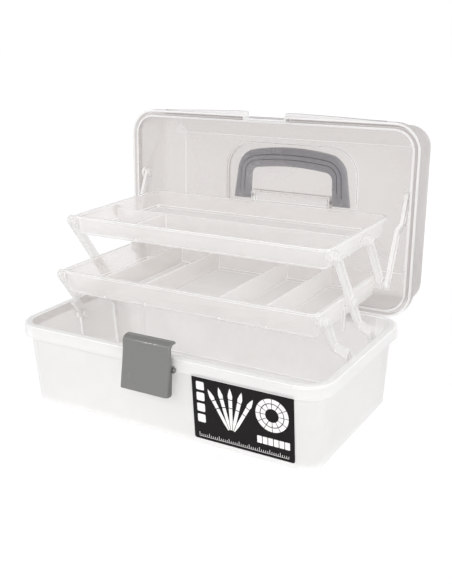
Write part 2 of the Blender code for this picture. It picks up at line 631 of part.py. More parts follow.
def make_linkage(lid_hinge):
    bore = PIN_RADIUS + PIN_CLEARANCE
    slot_end = ARM_EYE_RADIUS + ARM_EDGE_WIDTH / 2
    jog_half = ARM_JOG_LENGTH / 2 + ARM_EDGE_WIDTH
    arm_layers = (LOW_LAYER_X, HIGH_LAYER_X)
    long_length = LOWER_ARM_LENGTH + UPPER_ARM_LENGTH
    for side, letter in ((-1, "l"), (1, "r")):
        make_arm(f"front_arm_{letter}", BASE_FRONT_PIVOT, side, LOWER_ARM_LENGTH,
                 ((0, bore), (LOWER_ARM_LENGTH, bore)), FRONT_JOG,
                 ((slot_end, FRONT_JOG - jog_half, LOW_LAYER_X),
                  (FRONT_JOG + jog_half, LOWER_ARM_LENGTH - slot_end, HIGH_LAYER_X)),
                 arm_layers, ARM_THICKNESS, ARM_LEAN)
        make_arm(f"long_arm_{letter}", BASE_REAR_PIVOT, side, long_length,
                 ((0, bore), (LOWER_ARM_LENGTH, bore), (long_length, bore)), LONG_JOG,
                 ((slot_end, LONG_JOG - jog_half, LOW_LAYER_X),
                  (LONG_JOG + jog_half, LOWER_ARM_LENGTH - slot_end, HIGH_LAYER_X),
                  (LOWER_ARM_LENGTH + slot_end, long_length - slot_end, HIGH_LAYER_X)),
                 arm_layers, ARM_THICKNESS, ARM_LEAN)
        make_arm(f"rear_arm_{letter}", LOWER_REAR_PIVOT, side, UPPER_ARM_LENGTH,
                 ((0, bore), (UPPER_ARM_LENGTH, bore)), None,
                 ((slot_end, UPPER_ARM_LENGTH - slot_end, HIGH_LAYER_X),),
                 (HIGH_LAYER_X, HIGH_LAYER_X), ARM_THICKNESS, ARM_LEAN)
        make_link(side, letter, lid_hinge, bore, slot_end)
        for name, pivot in (("base_front_pin", BASE_FRONT_PIVOT), ("base_rear_pin", BASE_REAR_PIVOT)):
            outer_end = BOX_LENGTH / 2 - wall_inset_at(PIVOT_HEIGHT) + OUTER_BOSS_LENGTH
            make_pin(f"{name}_{letter}", side, pivot, outer_end, LOW_LAYER_X - ARM_THICKNESS - SEAT_GAP)
        for name, pivot in (("lower_tray_front_pin", LOWER_FRONT_PIVOT),
                            ("lower_tray_mid_pin", LOWER_MID_PIVOT),
                            ("lower_tray_rear_pin", LOWER_REAR_PIVOT),
                            ("upper_tray_front_pin", UPPER_FRONT_PIVOT),
                            ("upper_tray_rear_pin", UPPER_REAR_PIVOT)):
            make_pin(f"{name}_{letter}", side, pivot, TRAY_BOSS_X - PIN_DEPTH, HIGH_LAYER_X + SEAT_GAP)


def make_link(side, letter, lid_hinge, bore, slot_end):
    """A link that hangs from the lid; its lower eye rides beside the lower tray's rear pin head."""
    jog_half = ARM_JOG_LENGTH / 2 + ARM_EDGE_WIDTH
    name = f"lid_link_{letter}"
    joint = add_empty(f"{name}_pivot", LINK_PIVOT_CLOSED - HINGE, lid_hinge, LID_OPEN_ANGLE - LINK_LEAN)
    stations = [(-LINK_LENGTH, LINK_LOW_X), (-LINK_JOG - ARM_JOG_LENGTH / 2, LINK_LOW_X),
                (-LINK_JOG + ARM_JOG_LENGTH / 2, LINK_HIGH_X), (0, LINK_HIGH_X)]
    stations = [(height + LINK_LENGTH, outer) for height, outer in stations]
    mesh = bar(side, LINK_LENGTH, stations, LINK_THICKNESS)
    bmesh.ops.translate(mesh, vec=(0, 0, -LINK_LENGTH), verts=mesh.verts)
    link = add_solid(name, mesh, ARM_PLASTIC, joint)
    reach = (side * (LINK_HIGH_X + CUT_OVERRUN), side * (LINK_LOW_X - LINK_THICKNESS - CUT_OVERRUN))
    cuts = [disc(*reach, bore, Vector((0, 0, height))) for height in (0, -LINK_LENGTH)]
    cuts.append(slot(side, LINK_LOW_X, slot_end - LINK_LENGTH, -LINK_JOG - jog_half))
    cuts.append(slot(side, LINK_HIGH_X, -LINK_JOG + jog_half, -slot_end))
    change(link, "DIFFERENCE", cuts)
    make_pin(f"lid_link_pin_{letter}", side, LINK_PIVOT_CLOSED - HINGE, LID_WALL_X,
             LINK_HIGH_X - LINK_THICKNESS - SEAT_GAP, lid_hinge)


# Trays: thin open trays with a small turned-out rim, dividers and pivot bosses on both ends
def tray_rings(length, depth, height, rim_z, centre_y):
    floor_z = rim_z - height
    wall_top = rim_z - TRAY_RIM_HEIGHT
    foot_z = floor_z + TRAY_FOOT_ROUND
    body_inset = TRAY_RIM_WIDTH
    foot_inset = body_inset + TRAY_DRAW_IN
    outer = [(foot_inset + TRAY_FOOT_ROUND, floor_z), (foot_inset, foot_z), (body_inset, wall_top),
             (0, wall_top), (0, rim_z)]
    inner = [(body_inset + TRAY_WALL, rim_z), (foot_inset + TRAY_WALL, foot_z + TRAY_WALL),
             (foot_inset + TRAY_WALL + TRAY_FOOT_ROUND, floor_z + TRAY_WALL)]
    rings = []
    for inset, z in outer + inner:
        radius = max(TRAY_CORNER_RADIUS - inset, TRAY_WALL / 2)
        rings.append(rounded_ring(length - 2 * inset, depth - 2 * inset, radius, z, centre_y, TRAY_STEPS))
    return rings


def tray_wall_x(length, height, depth_below_rim):
    """Distance of a tray's outer end wall from the middle, a given depth below its rim."""
    wall_height = height - TRAY_RIM_HEIGHT - TRAY_FOOT_ROUND
    drop_share = (depth_below_rim - TRAY_RIM_HEIGHT) / wall_height
    return length / 2 - TRAY_RIM_WIDTH - TRAY_DRAW_IN * drop_share


def pivot_bosses(length, height, rim_z, places):
    """Bosses on both end walls and the blind bores in them."""
    wall_x = tray_wall_x(length, height, rim_z) - TRAY_WALL / 2
    bosses = []
    bores = []
    for side in (-1, 1):
        for place in places:
            bosses.append(disc(side * wall_x, side * TRAY_BOSS_X, PIVOT_BOSS_RADIUS, place, 16))
            bore_x = (side * (TRAY_BOSS_X - PIN_DEPTH - SEAT_GAP), side * (TRAY_BOSS_X + CUT_OVERRUN))
            bores.append(disc(*bore_x, PIN_RADIUS + PIN_CLEARANCE, place))
    return bosses, bores


def make_lower_tray():
    """The lower tray, in the frame of its middle pivot."""
    rim_z = LOWER_TRAY_RIM_OVER_PIVOT
    centre_y = LOWER_TRAY_DEPTH / 2 - LOWER_TRAY_FRONT_OVERHANG
    length = LOWER_TRAY_LENGTH
    height = LOWER_TRAY_HEIGHT
    tray = add_solid("lower_tray", loft(tray_rings(length, LOWER_TRAY_DEPTH, height, rim_z, centre_y)),
                     TRAY_PLASTIC, None, LOWER_MID_PIVOT)
    in_wall = TRAY_RIM_WIDTH + TRAY_WALL / 2
    front = centre_y - LOWER_TRAY_DEPTH / 2 + in_wall + TRAY_DRAW_IN / 2
    back = centre_y + LOWER_TRAY_DEPTH / 2 - in_wall - TRAY_DRAW_IN / 2
    low = rim_z - height + TRAY_WALL / 2
    additions = []
    for x in (-LOWER_DIVIDER_OUTER, -LOWER_DIVIDER_INNER, LOWER_DIVIDER_INNER, LOWER_DIVIDER_OUTER):
        additions.append(divider((x, front), (x, back), low, rim_z - DIVIDER_DROP))
    places = (LOWER_FRONT_PIVOT - LOWER_MID_PIVOT, Vector((0, 0, 0)), REAR_ARM_OFFSET)
    bosses, bores = pivot_bosses(length, height, rim_z, places)
    for side in (-1, 1):
        root_x = tray_wall_x(length, height, rim_z + TRAY_STOP_REACH / 2)
        top = -PIVOT_BOSS_RADIUS / 2
        root = TRAY_STOP_WIDTH / 2
        tip = TRAY_STOP_TIP_WIDTH / 2
        outline = ((-root, top), (root, top), (tip, -TRAY_STOP_REACH), (-tip, -TRAY_STOP_REACH))
        stop_x = (side * (root_x - TRAY_WALL / 2), side * (root_x + TRAY_STOP_THICKNESS))
        additions.append(side_prism(outline, *stop_x))
    change(tray, "UNION", additions + bosses)
    change(tray, "DIFFERENCE", bores)


def make_upper_tray():
    """The upper tray, in the frame of its front pivot."""
    rim_z = UPPER_TRAY_RIM_OVER_PIVOT
    centre_y = UPPER_TRAY_DEPTH / 2 - UPPER_TRAY_FRONT_OVERHANG
    length = UPPER_TRAY_LENGTH
    height = UPPER_TRAY_HEIGHT
    tray = add_solid("upper_tray", loft(tray_rings(length, UPPER_TRAY_DEPTH, height, rim_z, centre_y)),
                     TRAY_PLASTIC, None, UPPER_FRONT_PIVOT)
    in_wall = TRAY_RIM_WIDTH + TRAY_WALL / 2 + TRAY_DRAW_IN / 2
    low = rim_z - height + TRAY_WALL / 2
    high = rim_z - DIVIDER_DROP
    divider_y = LONG_DIVIDER_Y - UPPER_TRAY_FRONT_OVERHANG
    front = centre_y - UPPER_TRAY_DEPTH / 2 + in_wall
    start = -length / 2 + LONG_DIVIDER_START
    bosses, bores = pivot_bosses(length, height, rim_z, (Vector((0, 0, 0)), REAR_ARM_OFFSET))
    additions = [divider((start, divider_y), (length / 2 - in_wall, divider_y), low, high),
                 divider((CROSS_DIVIDER_X, front), (CROSS_DIVIDER_X, divider_y), low, high)]
    change(tray, "UNION", additions + bosses)
    change(tray, "DIFFERENCE", bores)


def divider(start, end, low, high):
    """A thin upright wall between two plan points, along X or along Y."""
    half = DIVIDER_THICKNESS / 2
    if start[0] == end[0]:
        return box((start[0] - half, start[1], low), (end[0] + half, end[1], high))
    return box((start[0], start[1] - half, low), (end[0], end[1] + half, high))


# Latch: a bent plate with side flanges that swings on a pin through two lugs
def make_latch():
    """The latch, in the frame of its pin, released and hanging just clear of the lid's catch."""
    joint = add_empty("latch_pivot", LATCH_PIVOT)
    top = LATCH_FACE_TOP_RISE + LATCH_CURL
    face = [(-LATCH_BOTTOM_OUT, -LATCH_BOTTOM_DROP), (-LATCH_KNEE_OUT, -LATCH_KNEE_DROP),
            (-LATCH_FACE_TOP_OUT, LATCH_FACE_TOP_RISE)]
    curl_centre = (-LATCH_FACE_TOP_OUT + LATCH_CURL, LATCH_FACE_TOP_RISE)
    outer_curl = arc(curl_centre, LATCH_CURL, radians(180), radians(90), 4)
    inner_curl = arc(curl_centre, LATCH_CURL - LATCH_WALL, radians(90), radians(180), 4)
    inner_face = [(y + LATCH_WALL, z) for y, z in reversed(face[:2])]
    plate = side_prism(face[:2] + outer_curl + inner_curl + inner_face, -LATCH_WIDTH / 2, LATCH_WIDTH / 2)
    latch = add_solid("latch", plate, LATCH_PLASTIC, joint)
    root = curl_centre[0] - LATCH_CURL / 4
    hook_front = LATCH_HOOK_REACH - LATCH_HOOK_THICKNESS
    hook = [(root, top), (LATCH_HOOK_REACH, top), (LATCH_HOOK_REACH, top - LATCH_HOOK_DROP),
            (hook_front, top - LATCH_HOOK_DROP), (hook_front, top - LATCH_WALL), (root, top - LATCH_WALL)]
    additions = [side_prism(hook, -LATCH_TONGUE_WIDTH / 2, LATCH_TONGUE_WIDTH / 2)]
    inside = LATCH_WALL / 2
    flange_top = LATCH_FACE_TOP_RISE + LATCH_CURL / 4
    ear = arc((0, 0), LATCH_EAR_RADIUS, -radians(90), radians(90), 6)
    top_front = -LATCH_FACE_TOP_OUT + inside
    flange = [(-LATCH_BOTTOM_OUT + inside, -LATCH_BOTTOM_DROP + inside),
              (-LATCH_BOTTOM_OUT + LATCH_FLANGE_DEPTH, -LATCH_BOTTOM_DROP + inside),
              (-LATCH_KNEE_OUT + LATCH_FLANGE_DEPTH / 2, -LATCH_EAR_RADIUS)] + ear
    flange += [(-LATCH_KNEE_OUT + LATCH_FLANGE_DEPTH / 2, LATCH_EAR_RADIUS),
               (-LATCH_FACE_TOP_OUT + LATCH_FLANGE_TOP_DEPTH, flange_top), (top_front, flange_top),
               (-LATCH_KNEE_OUT + inside, -LATCH_KNEE_DROP)]
    for side in (-1, 1):
        outer = side * LATCH_WIDTH / 2
        additions.append(side_prism(flange, outer - side * LATCH_FLANGE, outer))
    change(latch, "UNION", additions)
    reach = LATCH_WIDTH / 2 + CUT_OVERRUN
    change(latch, "DIFFERENCE", [disc(-reach, reach, PIN_RADIUS + PIN_CLEARANCE, Vector((0, 0, 0)))])
    shank = LATCH_WIDTH / 2 + SEAT_GAP
    ends = [(-shank - LATCH_PIN_HEAD_THICKNESS, LATCH_PIN_HEAD_RADIUS), (-shank, LATCH_PIN_HEAD_RADIUS),
            (-shank, PIN_RADIUS)]
    stations = ends + [(-x, radius) for x, radius in reversed(ends)]
    add_solid("latch_pin", turned_x(stations, 0, 0), PIN_STEEL, None, LATCH_PIVOT)


# Carrying handle: a flat bow with round feet, in the recess of the lid
def handle_outline(shrink, foot_y):
    """Plan of the bow, drawn in all round by a small amount, with its feet ending at foot_y."""
    def bow(x, depth):
        share = min(abs(x) / HANDLE_NECK_INNER, 1)
        return -HANDLE_FRONT + depth + HANDLE_ARCH * share * share

    outer_radius = HANDLE_OUTER_RADIUS
    inner_radius = HANDLE_INNER_RADIUS
    outer_x = HANDLE_NECK_OUTER - outer_radius
    inner_x = HANDLE_NECK_INNER - inner_radius
    outer_y = bow(outer_x, 0) + outer_radius
    inner_y = bow(inner_x, HANDLE_BAR_WIDTH) + inner_radius
    outer_corner = arc((outer_x, outer_y), outer_radius - shrink, 0, -radians(90), HANDLE_CORNER_STEPS)
    inner_corner = arc((inner_x, inner_y), inner_radius + shrink, -radians(90), 0, HANDLE_CORNER_STEPS)
    right = [(HANDLE_FOOT_OUTER - shrink, foot_y)] + outer_corner
    front = [(x, bow(x, shrink)) for x in spread(outer_x, -outer_x)]
    back = [(x, bow(x, HANDLE_BAR_WIDTH - shrink)) for x in spread(-inner_x, inner_x)]
    inner = inner_corner + [(HANDLE_FOOT_INNER + shrink, foot_y)]
    left = [(-x, y) for x, y in reversed(right)]
    inner_left = [(-x, y) for x, y in reversed(inner)]
    return right + front + left + inner_left + back + inner


def spread(start, end):
    """Places between two ends, without the ends."""
    return [start + (end - start) * step / HANDLE_ARCH_STEPS for step in range(1, HANDLE_ARCH_STEPS)]


def make_handle(lid_hinge):
    place = HANDLE_PIVOT - HINGE
    joint = add_empty("handle_pivot", place, lid_hinge)
    half = HANDLE_THICKNESS / 2
    rings = []
    for degrees in (-90, -58, -30, 0, 30, 58, 90):
        z = half * sin(radians(degrees))
        into_round = max(abs(z) - (half - HANDLE_EDGE_ROUND), 0)
        shrink = HANDLE_EDGE_ROUND - sqrt(HANDLE_EDGE_ROUND ** 2 - into_round ** 2)
        foot_y = HANDLE_PIVOT.y + HANDLE_FOOT_REACH * cos(radians(degrees))
        rings.append([Vector((x, y - HANDLE_PIVOT.y, z)) for x, y in handle_outline(shrink, foot_y)])
    handle = add_solid("handle", loft(rings), HANDLE_PLASTIC, joint)
    bore_end = HANDLE_FOOT_INNER + HANDLE_PIN_IN_FOOT + SEAT_GAP
    bore_start = HANDLE_FOOT_INNER - CUT_OVERRUN
    radius = HANDLE_PIN_RADIUS + PIN_CLEARANCE
    bores = [disc(side * bore_start, side * bore_end, radius, Vector((0, 0, 0))) for side in (-1, 1)]
    change(handle, "DIFFERENCE", bores)
    inner_end = HINGE_BLOCK_LENGTH / 2 - HANDLE_PIN_IN_BLOCK
    for side, letter in ((-1, "l"), (1, "r")):
        stations = ((side * inner_end, HANDLE_PIN_RADIUS),
                    (side * (HANDLE_FOOT_INNER + HANDLE_PIN_IN_FOOT), HANDLE_PIN_RADIUS))
        add_solid(f"handle_pin_{letter}", turned_x(stations, 0, 0), PIN_STEEL, lid_hinge, place)


def make_hinge_pins():
    half = KNUCKLE_WIDTH / 2 + HINGE_SIDE_GAP + HINGE_EAR_WIDTH
    for station, letter in ((-HINGE_SPACING / 2, "l"), (HINGE_SPACING / 2, "r")):
        mesh = turned_x(((-half, HINGE_PIN_RADIUS), (half, HINGE_PIN_RADIUS)), 0, 0)
        add_solid(f"hinge_pin_{letter}", mesh, PIN_PLASTIC, None, HINGE + Vector((station, 0, 0)))


def make_label():
    """A printed sticker on the sloping front wall."""
    slope = atan2(BASE_DRAW_IN, BASE_HEIGHT - BASE_FOOT_ROUND)
    middle_z = LABEL_BOTTOM + LABEL_HEIGHT / 2
    face_y = -BOX_DEPTH / 2 + wall_inset_at(middle_z)
    rings = [rounded_ring(LABEL_WIDTH, LABEL_HEIGHT, LABEL_CORNER_RADIUS, z, steps=2)
             for z in (SEAT_GAP, SEAT_GAP + LABEL_THICKNESS)]
    label = add_solid("front_label", loft(rings), LABEL_PAPER, None, (LABEL_CENTRE_X, face_y, middle_z))
    label.rotation_euler = (radians(90) + slope, 0, 0)


make_base()
LID_HINGE = add_empty("lid_hinge", HINGE, None, -LID_OPEN_ANGLE)
make_lid(LID_HINGE)
make_linkage(LID_HINGE)
make_lower_tray()
make_upper_tray()
make_latch()
make_handle(LID_HINGE)
make_hinge_pins()
make_label()
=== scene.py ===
# %% [markdown]
# # Art supply box
# A carry box moulded from frosted polypropylene. Opening its hinged lid lifts two divided trays out on
# swinging arms. A grey latch closes it, and a grey handle folds into a recess in the lid.
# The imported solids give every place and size. This lesson dresses them: it gives each moulding its soft
# edges, cuts the fine grooves, prints the label and gives every surface its plastic, ink or steel.

import json
from math import atan2, cos, radians, sin

import bmesh
import bpy
from mathutils import Matrix, Vector
from mathutils.bvhtree import BVHTree


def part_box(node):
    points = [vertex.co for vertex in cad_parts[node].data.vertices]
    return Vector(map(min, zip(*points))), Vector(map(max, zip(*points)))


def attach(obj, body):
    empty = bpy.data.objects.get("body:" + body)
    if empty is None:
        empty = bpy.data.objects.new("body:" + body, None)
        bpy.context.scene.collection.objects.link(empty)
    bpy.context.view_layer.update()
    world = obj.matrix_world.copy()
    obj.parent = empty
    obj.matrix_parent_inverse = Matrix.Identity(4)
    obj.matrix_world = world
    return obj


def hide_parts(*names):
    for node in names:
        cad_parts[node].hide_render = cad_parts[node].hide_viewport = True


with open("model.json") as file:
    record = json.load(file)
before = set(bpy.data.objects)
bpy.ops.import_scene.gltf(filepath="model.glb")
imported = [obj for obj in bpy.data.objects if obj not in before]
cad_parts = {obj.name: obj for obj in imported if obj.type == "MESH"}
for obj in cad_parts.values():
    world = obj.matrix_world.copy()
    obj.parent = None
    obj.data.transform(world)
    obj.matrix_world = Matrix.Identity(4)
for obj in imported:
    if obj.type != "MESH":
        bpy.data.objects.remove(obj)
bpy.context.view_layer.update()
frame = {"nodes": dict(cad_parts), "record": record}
MM = 0.001

# %% [markdown]
# The camera stands right of the box and a little above it. Its place and its angles were fitted to the
# edges of the box in the photograph, so that rims, walls and tray corners fall where they do there.

# %% Camera
CAMERA_PLACE = Vector((413.4, -656.5, 367.55)) * MM
CAMERA_AZIMUTH = radians(30.9)
CAMERA_DROP = radians(18.24)
CAMERA_ROLL = radians(-0.85)
SENSOR_WIDTH = 36.0
FOCAL_LENGTH = 67.88

camera_data = bpy.data.cameras.new("camera")
camera_data.sensor_fit = "HORIZONTAL"
camera_data.sensor_width = SENSOR_WIDTH
camera_data.lens = FOCAL_LENGTH
camera = bpy.data.objects.new("camera", camera_data)
bpy.context.scene.collection.objects.link(camera)
turn = Matrix.Rotation(CAMERA_AZIMUTH, 4, "Z") @ Matrix.Rotation(radians(90) - CAMERA_DROP, 4, "X")
camera.matrix_world = Matrix.Translation(CAMERA_PLACE) @ turn @ Matrix.Rotation(CAMERA_ROLL, 4, "Z")
bpy.context.scene.camera = camera
print("camera:", round(CAMERA_PLACE.length / MM), "mm from the middle of the floor")

# %% [markdown]
# Colours are written as the sRGB hex values that a paint program shows. One function turns them to the
# linear values that shaders want, and one adds a node with its settings and its links.

# %% Helpers for colours and nodes


def srgb(code):
    """A hex colour such as "8A8D92" as linear red, green, blue and alpha."""
    channels = [int(code[i:i + 2], 16) / 255 for i in (0, 2, 4)]
    linear = [c / 12.92 if c <= 0.04045 else ((c + 0.055) / 1.055) ** 2.4 for c in channels]
    return (*linear, 1.0)


def add_node(tree, kind, settings=None, values=None, links=None):
    """A node with its settings, its input values and its links from (node, output) pairs."""
    node = tree.nodes.new(kind)
    for name, value in (settings or {}).items():
        setattr(node, name, value)
    for name, value in (values or {}).items():
        node.inputs[name].default_value = value
    for name, (source, output) in (links or {}).items():
        tree.links.new(source.outputs[output], node.inputs[name])
    return node


def new_material(name):
    """An empty node material and its tree."""
    material = bpy.data.materials.new(name)
    material.use_nodes = True
    material.node_tree.nodes.clear()
    return material, material.node_tree


# %% [markdown]
# Pale plastic in front of white needs soft light from all round. The world does most of the work: it is
# brightest at the height of the box and weaker overhead, as between two large softboxes, so upright walls
# come out lighter than rims and floors, and it is a little brighter on the right. A broad sun from the
# front gives the shapes a light and a dark side, and a small lamp from the left sets glints on bends.
# Camera rays see the world as white. The floor adds a share of white for camera rays, so it keeps the
# box's faint shadow.

# %% Light, background and floor
SIDE_LIGHT = 0.99
OVERHEAD_LIGHT = 0.56
RIGHT_MORE = 0.34
SUN_LIGHT = 1.12
SUN_SOFTNESS = radians(30)
SUN_TURN = (radians(62), 0, radians(18))
GLINT_LIGHT = 0.3
GLINT_SOFTNESS = radians(6)
GLINT_TURN = (radians(60), 0, radians(-39))
FLOOR_SIZE = 12.0
FLOOR_GLOW = 1.1
FLOOR_GLOW_SHARE = 0.75

world = bpy.data.worlds.new("studio")
bpy.context.scene.world = world
world.use_nodes = True
world.node_tree.nodes.clear()
path = add_node(world.node_tree, "ShaderNodeLightPath")
seen = add_node(world.node_tree, "ShaderNodeMath", {"operation": "MAXIMUM"},
                links={0: (path, "Is Camera Ray"), 1: (path, "Is Transmission Ray")})
direction = add_node(world.node_tree, "ShaderNodeTexCoord")
upward = add_node(world.node_tree, "ShaderNodeSeparateXYZ", links={0: (direction, "Generated")})
level = add_node(world.node_tree, "ShaderNodeMapRange",
                 values={"To Min": SIDE_LIGHT, "To Max": OVERHEAD_LIGHT}, links={"Value": (upward, "Z")})
light = add_node(world.node_tree, "ShaderNodeMath", {"operation": "MULTIPLY_ADD"}, {1: RIGHT_MORE},
                 {0: (upward, "X"), 2: (level, 0)})
strength = add_node(world.node_tree, "ShaderNodeMapRange", values={"To Max": 1.0},
                    links={"Value": (seen, 0), "To Min": (light, 0)})
sky = add_node(world.node_tree, "ShaderNodeBackground", values={"Color": (1, 1, 1, 1)},
               links={"Strength": (strength, 0)})
add_node(world.node_tree, "ShaderNodeOutputWorld", links={"Surface": (sky, 0)})


def add_sun(name, energy, softness, turn):
    """A lamp as far away as the sun, with the softness of a broad window or of a small lamp."""
    data = bpy.data.lights.new(name, "SUN")
    data.energy = energy
    data.angle = softness
    lamp = bpy.data.objects.new(name, data)
    lamp.rotation_euler = turn
    bpy.context.scene.collection.objects.link(lamp)
    print("lamp:", name, energy, "W/m2")


add_sun("window_light", SUN_LIGHT, SUN_SOFTNESS, SUN_TURN)
add_sun("glint_light", GLINT_LIGHT, GLINT_SOFTNESS, GLINT_TURN)

floor_material, tree = new_material("matt_white_paper_floor")
path = add_node(tree, "ShaderNodeLightPath")
paper = add_node(tree, "ShaderNodeBsdfDiffuse", values={"Color": srgb("F6F6F6")})
glow = add_node(tree, "ShaderNodeEmission", values={"Color": (1, 1, 1, 1), "Strength": FLOOR_GLOW})
share = add_node(tree, "ShaderNodeMath", {"operation": "MULTIPLY"}, {1: FLOOR_GLOW_SHARE},
                 {0: (path, "Is Camera Ray")})
mixed = add_node(tree, "ShaderNodeMixShader", links={0: (share, 0), 1: (paper, 0), 2: (glow, 0)})
add_node(tree, "ShaderNodeOutputMaterial", links={"Surface": (mixed, 0)})

floor_mesh = bpy.data.meshes.new("floor")
half = FLOOR_SIZE / 2
floor_mesh.from_pydata([(-half, -half, 0), (half, -half, 0), (half, half, 0), (-half, half, 0)], [],
                       [(0, 1, 2, 3)])
floor_mesh.materials.append(floor_material)
floor = bpy.data.objects.new("floor", floor_mesh)
bpy.context.scene.collection.objects.link(floor)
bpy.context.scene.view_settings.view_transform = "Standard"
bpy.context.scene.cycles.transparent_max_bounces = 40
bpy.context.scene.cycles.diffuse_bounces = 16
bpy.context.scene.cycles.max_bounces = 32

# %% [markdown]
# Frosted polypropylene is milky. Part of the light that meets it goes straight through, part is
# scattered on through the wall, and the rest comes back as a soft satin surface. A Mix of Transparent,
# Translucent and Principled shaders says just that. A slow cloudiness in the melt changes how much is
# seen through it, and the mould leaves the surface uneven by a trace, over about three millimetres.
# A volume inside the wall could make the milk too, but it renders slowly and with noise. Two numbers on
# every face steer the mix: "milkiness", for edges and deep plastic, and a second one that paints shade
# on a tub's inner faces.

# %% Frosted polypropylene
CLOUD_SIZE = 30 * MM
CLOUD_MORE = 0.03
UNEVEN_SIZE = 3.0 * MM
GLOSS_MORE = 0.05
EDGE_CLEAR = 0.2


def frosted_polypropylene(name, milk, inner, edge, through, clear_share, glow_share, roughness):
    """Milky moulded plastic: its colour, a painted shade for its inner faces, its colour at an edge, its
    tint, and the shares.
    """
    material, tree = new_material(name)
    place = add_node(tree, "ShaderNodeTexCoord")
    clouds = add_node(tree, "ShaderNodeTexNoise", values={"Scale": 1 / CLOUD_SIZE, "Detail": 2.0},
                      links={"Vector": (place, "Object")})
    uneven = add_node(tree, "ShaderNodeTexNoise", values={"Scale": 1 / UNEVEN_SIZE, "Detail": 1.0},
                      links={"Vector": (place, "Object")})
    bump = add_node(tree, "ShaderNodeBump", values={"Strength": 0.04, "Distance": 0.1 * MM},
                    links={"Height": (uneven, 0)})
    satin = add_node(tree, "ShaderNodeMapRange",
                     values={"From Min": 0.3, "From Max": 0.7, "To Min": roughness - GLOSS_MORE,
                             "To Max": roughness + GLOSS_MORE}, links={"Value": (clouds, 0)})
    milky = add_node(tree, "ShaderNodeAttribute", {"attribute_name": "milkiness"})
    inside = add_node(tree, "ShaderNodeAttribute", {"attribute_name": "inside"})
    # Inner faces mix in a painted shade, as far as the mark on each face says.
    wall_and_shade_colour = add_node(tree, "ShaderNodeMix", {"data_type": "RGBA"},
                           {6: srgb(milk), 7: srgb(inner)}, {0: (inside, "Fac")})
    colour = add_node(tree, "ShaderNodeMix", {"data_type": "RGBA"}, {7: srgb(edge)},
                      {0: (milky, "Fac"), 6: (wall_and_shade_colour, 2)})
    surface = add_node(tree, "ShaderNodeBsdfPrincipled", values={"IOR": 1.49},
                       links={"Base Color": (colour, 2), "Roughness": (satin, 0), "Normal": (bump, 0)})
    scatter = add_node(tree, "ShaderNodeBsdfTranslucent", links={"Color": (colour, 2)})
    body = add_node(tree, "ShaderNodeMixShader", values={0: glow_share},
                    links={1: (surface, 0), 2: (scatter, 0)})
    clear = add_node(tree, "ShaderNodeBsdfTransparent", values={"Color": srgb(through)})
    facing = add_node(tree, "ShaderNodeLayerWeight", values={"Blend": 0.5})
    cloudy = add_node(tree, "ShaderNodeMapRange",
                      values={"From Min": 0.3, "From Max": 0.7, "To Min": clear_share - CLOUD_MORE,
                              "To Max": clear_share + CLOUD_MORE}, links={"Value": (clouds, 0)})
    grazing = add_node(tree, "ShaderNodeMath", {"operation": "SUBTRACT"}, {0: 1.0},
                       {1: (facing, "Facing")})
    seen_flat = add_node(tree, "ShaderNodeMath", {"operation": "MULTIPLY"},
                         links={0: (cloudy, 0), 1: (grazing, 0)})
    thin = add_node(tree, "ShaderNodeMapRange", values={"To Min": 1.0, "To Max": EDGE_CLEAR},
                    links={"Value": (milky, "Fac")})
    seen = add_node(tree, "ShaderNodeMath", {"operation": "MULTIPLY"},
                    links={0: (seen_flat, 0), 1: (thin, 0)})
    wall = add_node(tree, "ShaderNodeMixShader", links={0: (seen, 0), 1: (body, 0), 2: (clear, 0)})
    side = add_node(tree, "ShaderNodeNewGeometry")
    way_out = add_node(tree, "ShaderNodeBsdfTransparent")
    both = add_node(tree, "ShaderNodeMixShader",
                    links={0: (side, "Backfacing"), 1: (wall, 0), 2: (way_out, 0)})
    add_node(tree, "ShaderNodeOutputMaterial", links={"Surface": (both, 0)})
    return material


# The tub looks white outside, a painted shade greys its inner faces, and only a little is seen through it.
BASE_PLASTIC = frosted_polypropylene("frosted_polypropylene_base", milk="F6F6F5", inner="DDD9D7",
                                     edge="FAFAFA", through="FAF9F9", clear_share=0.42,
                                     glow_share=0.12, roughness=0.38)
# The lid is clear enough to show the handle behind it, under a warm grey veil.
LID_PLASTIC = frosted_polypropylene("frosted_polypropylene_lid", milk="DAD6D5", inner="DAD6D5",
                                    edge="FFFFFF", through="DFDBD9", clear_share=0.84,
                                    glow_share=0.45, roughness=0.34)
# The trays are pale and half clear, so the dividers show through the front walls. A faint painted shade
# greys their inner faces, most at the left.
TRAY_PLASTIC = frosted_polypropylene("frosted_polypropylene_tray", milk="FDFCFB", inner="EFEBE9",
                                     edge="FFFFFF", through="FBFAFA", clear_share=0.66,
                                     glow_share=0.45, roughness=0.36)
# Arms and pins are thicker and look almost white.
ARM_PLASTIC = frosted_polypropylene("milky_polypropylene_arm", milk="EFEEED", inner="EFEEED",
                                    edge="F6F5F4", through="FAFAF9", clear_share=0.4,
                                    glow_share=0.3, roughness=0.4)
FROSTED = (BASE_PLASTIC, LID_PLASTIC, TRAY_PLASTIC, ARM_PLASTIC)
print("frosted plastics:", [plastic.name for plastic in FROSTED])

# %% [markdown]
# The latch and the handle are moulded from grey ABS with a fine satin grain. Wear polishes such a part
# slowly and unevenly, so a broad noise moves its roughness.

# %% Grey moulded ABS
WEAR_SIZE = 18 * MM
SATIN_GRAIN_SIZE = 0.7 * MM
WEAR_MORE = 0.07


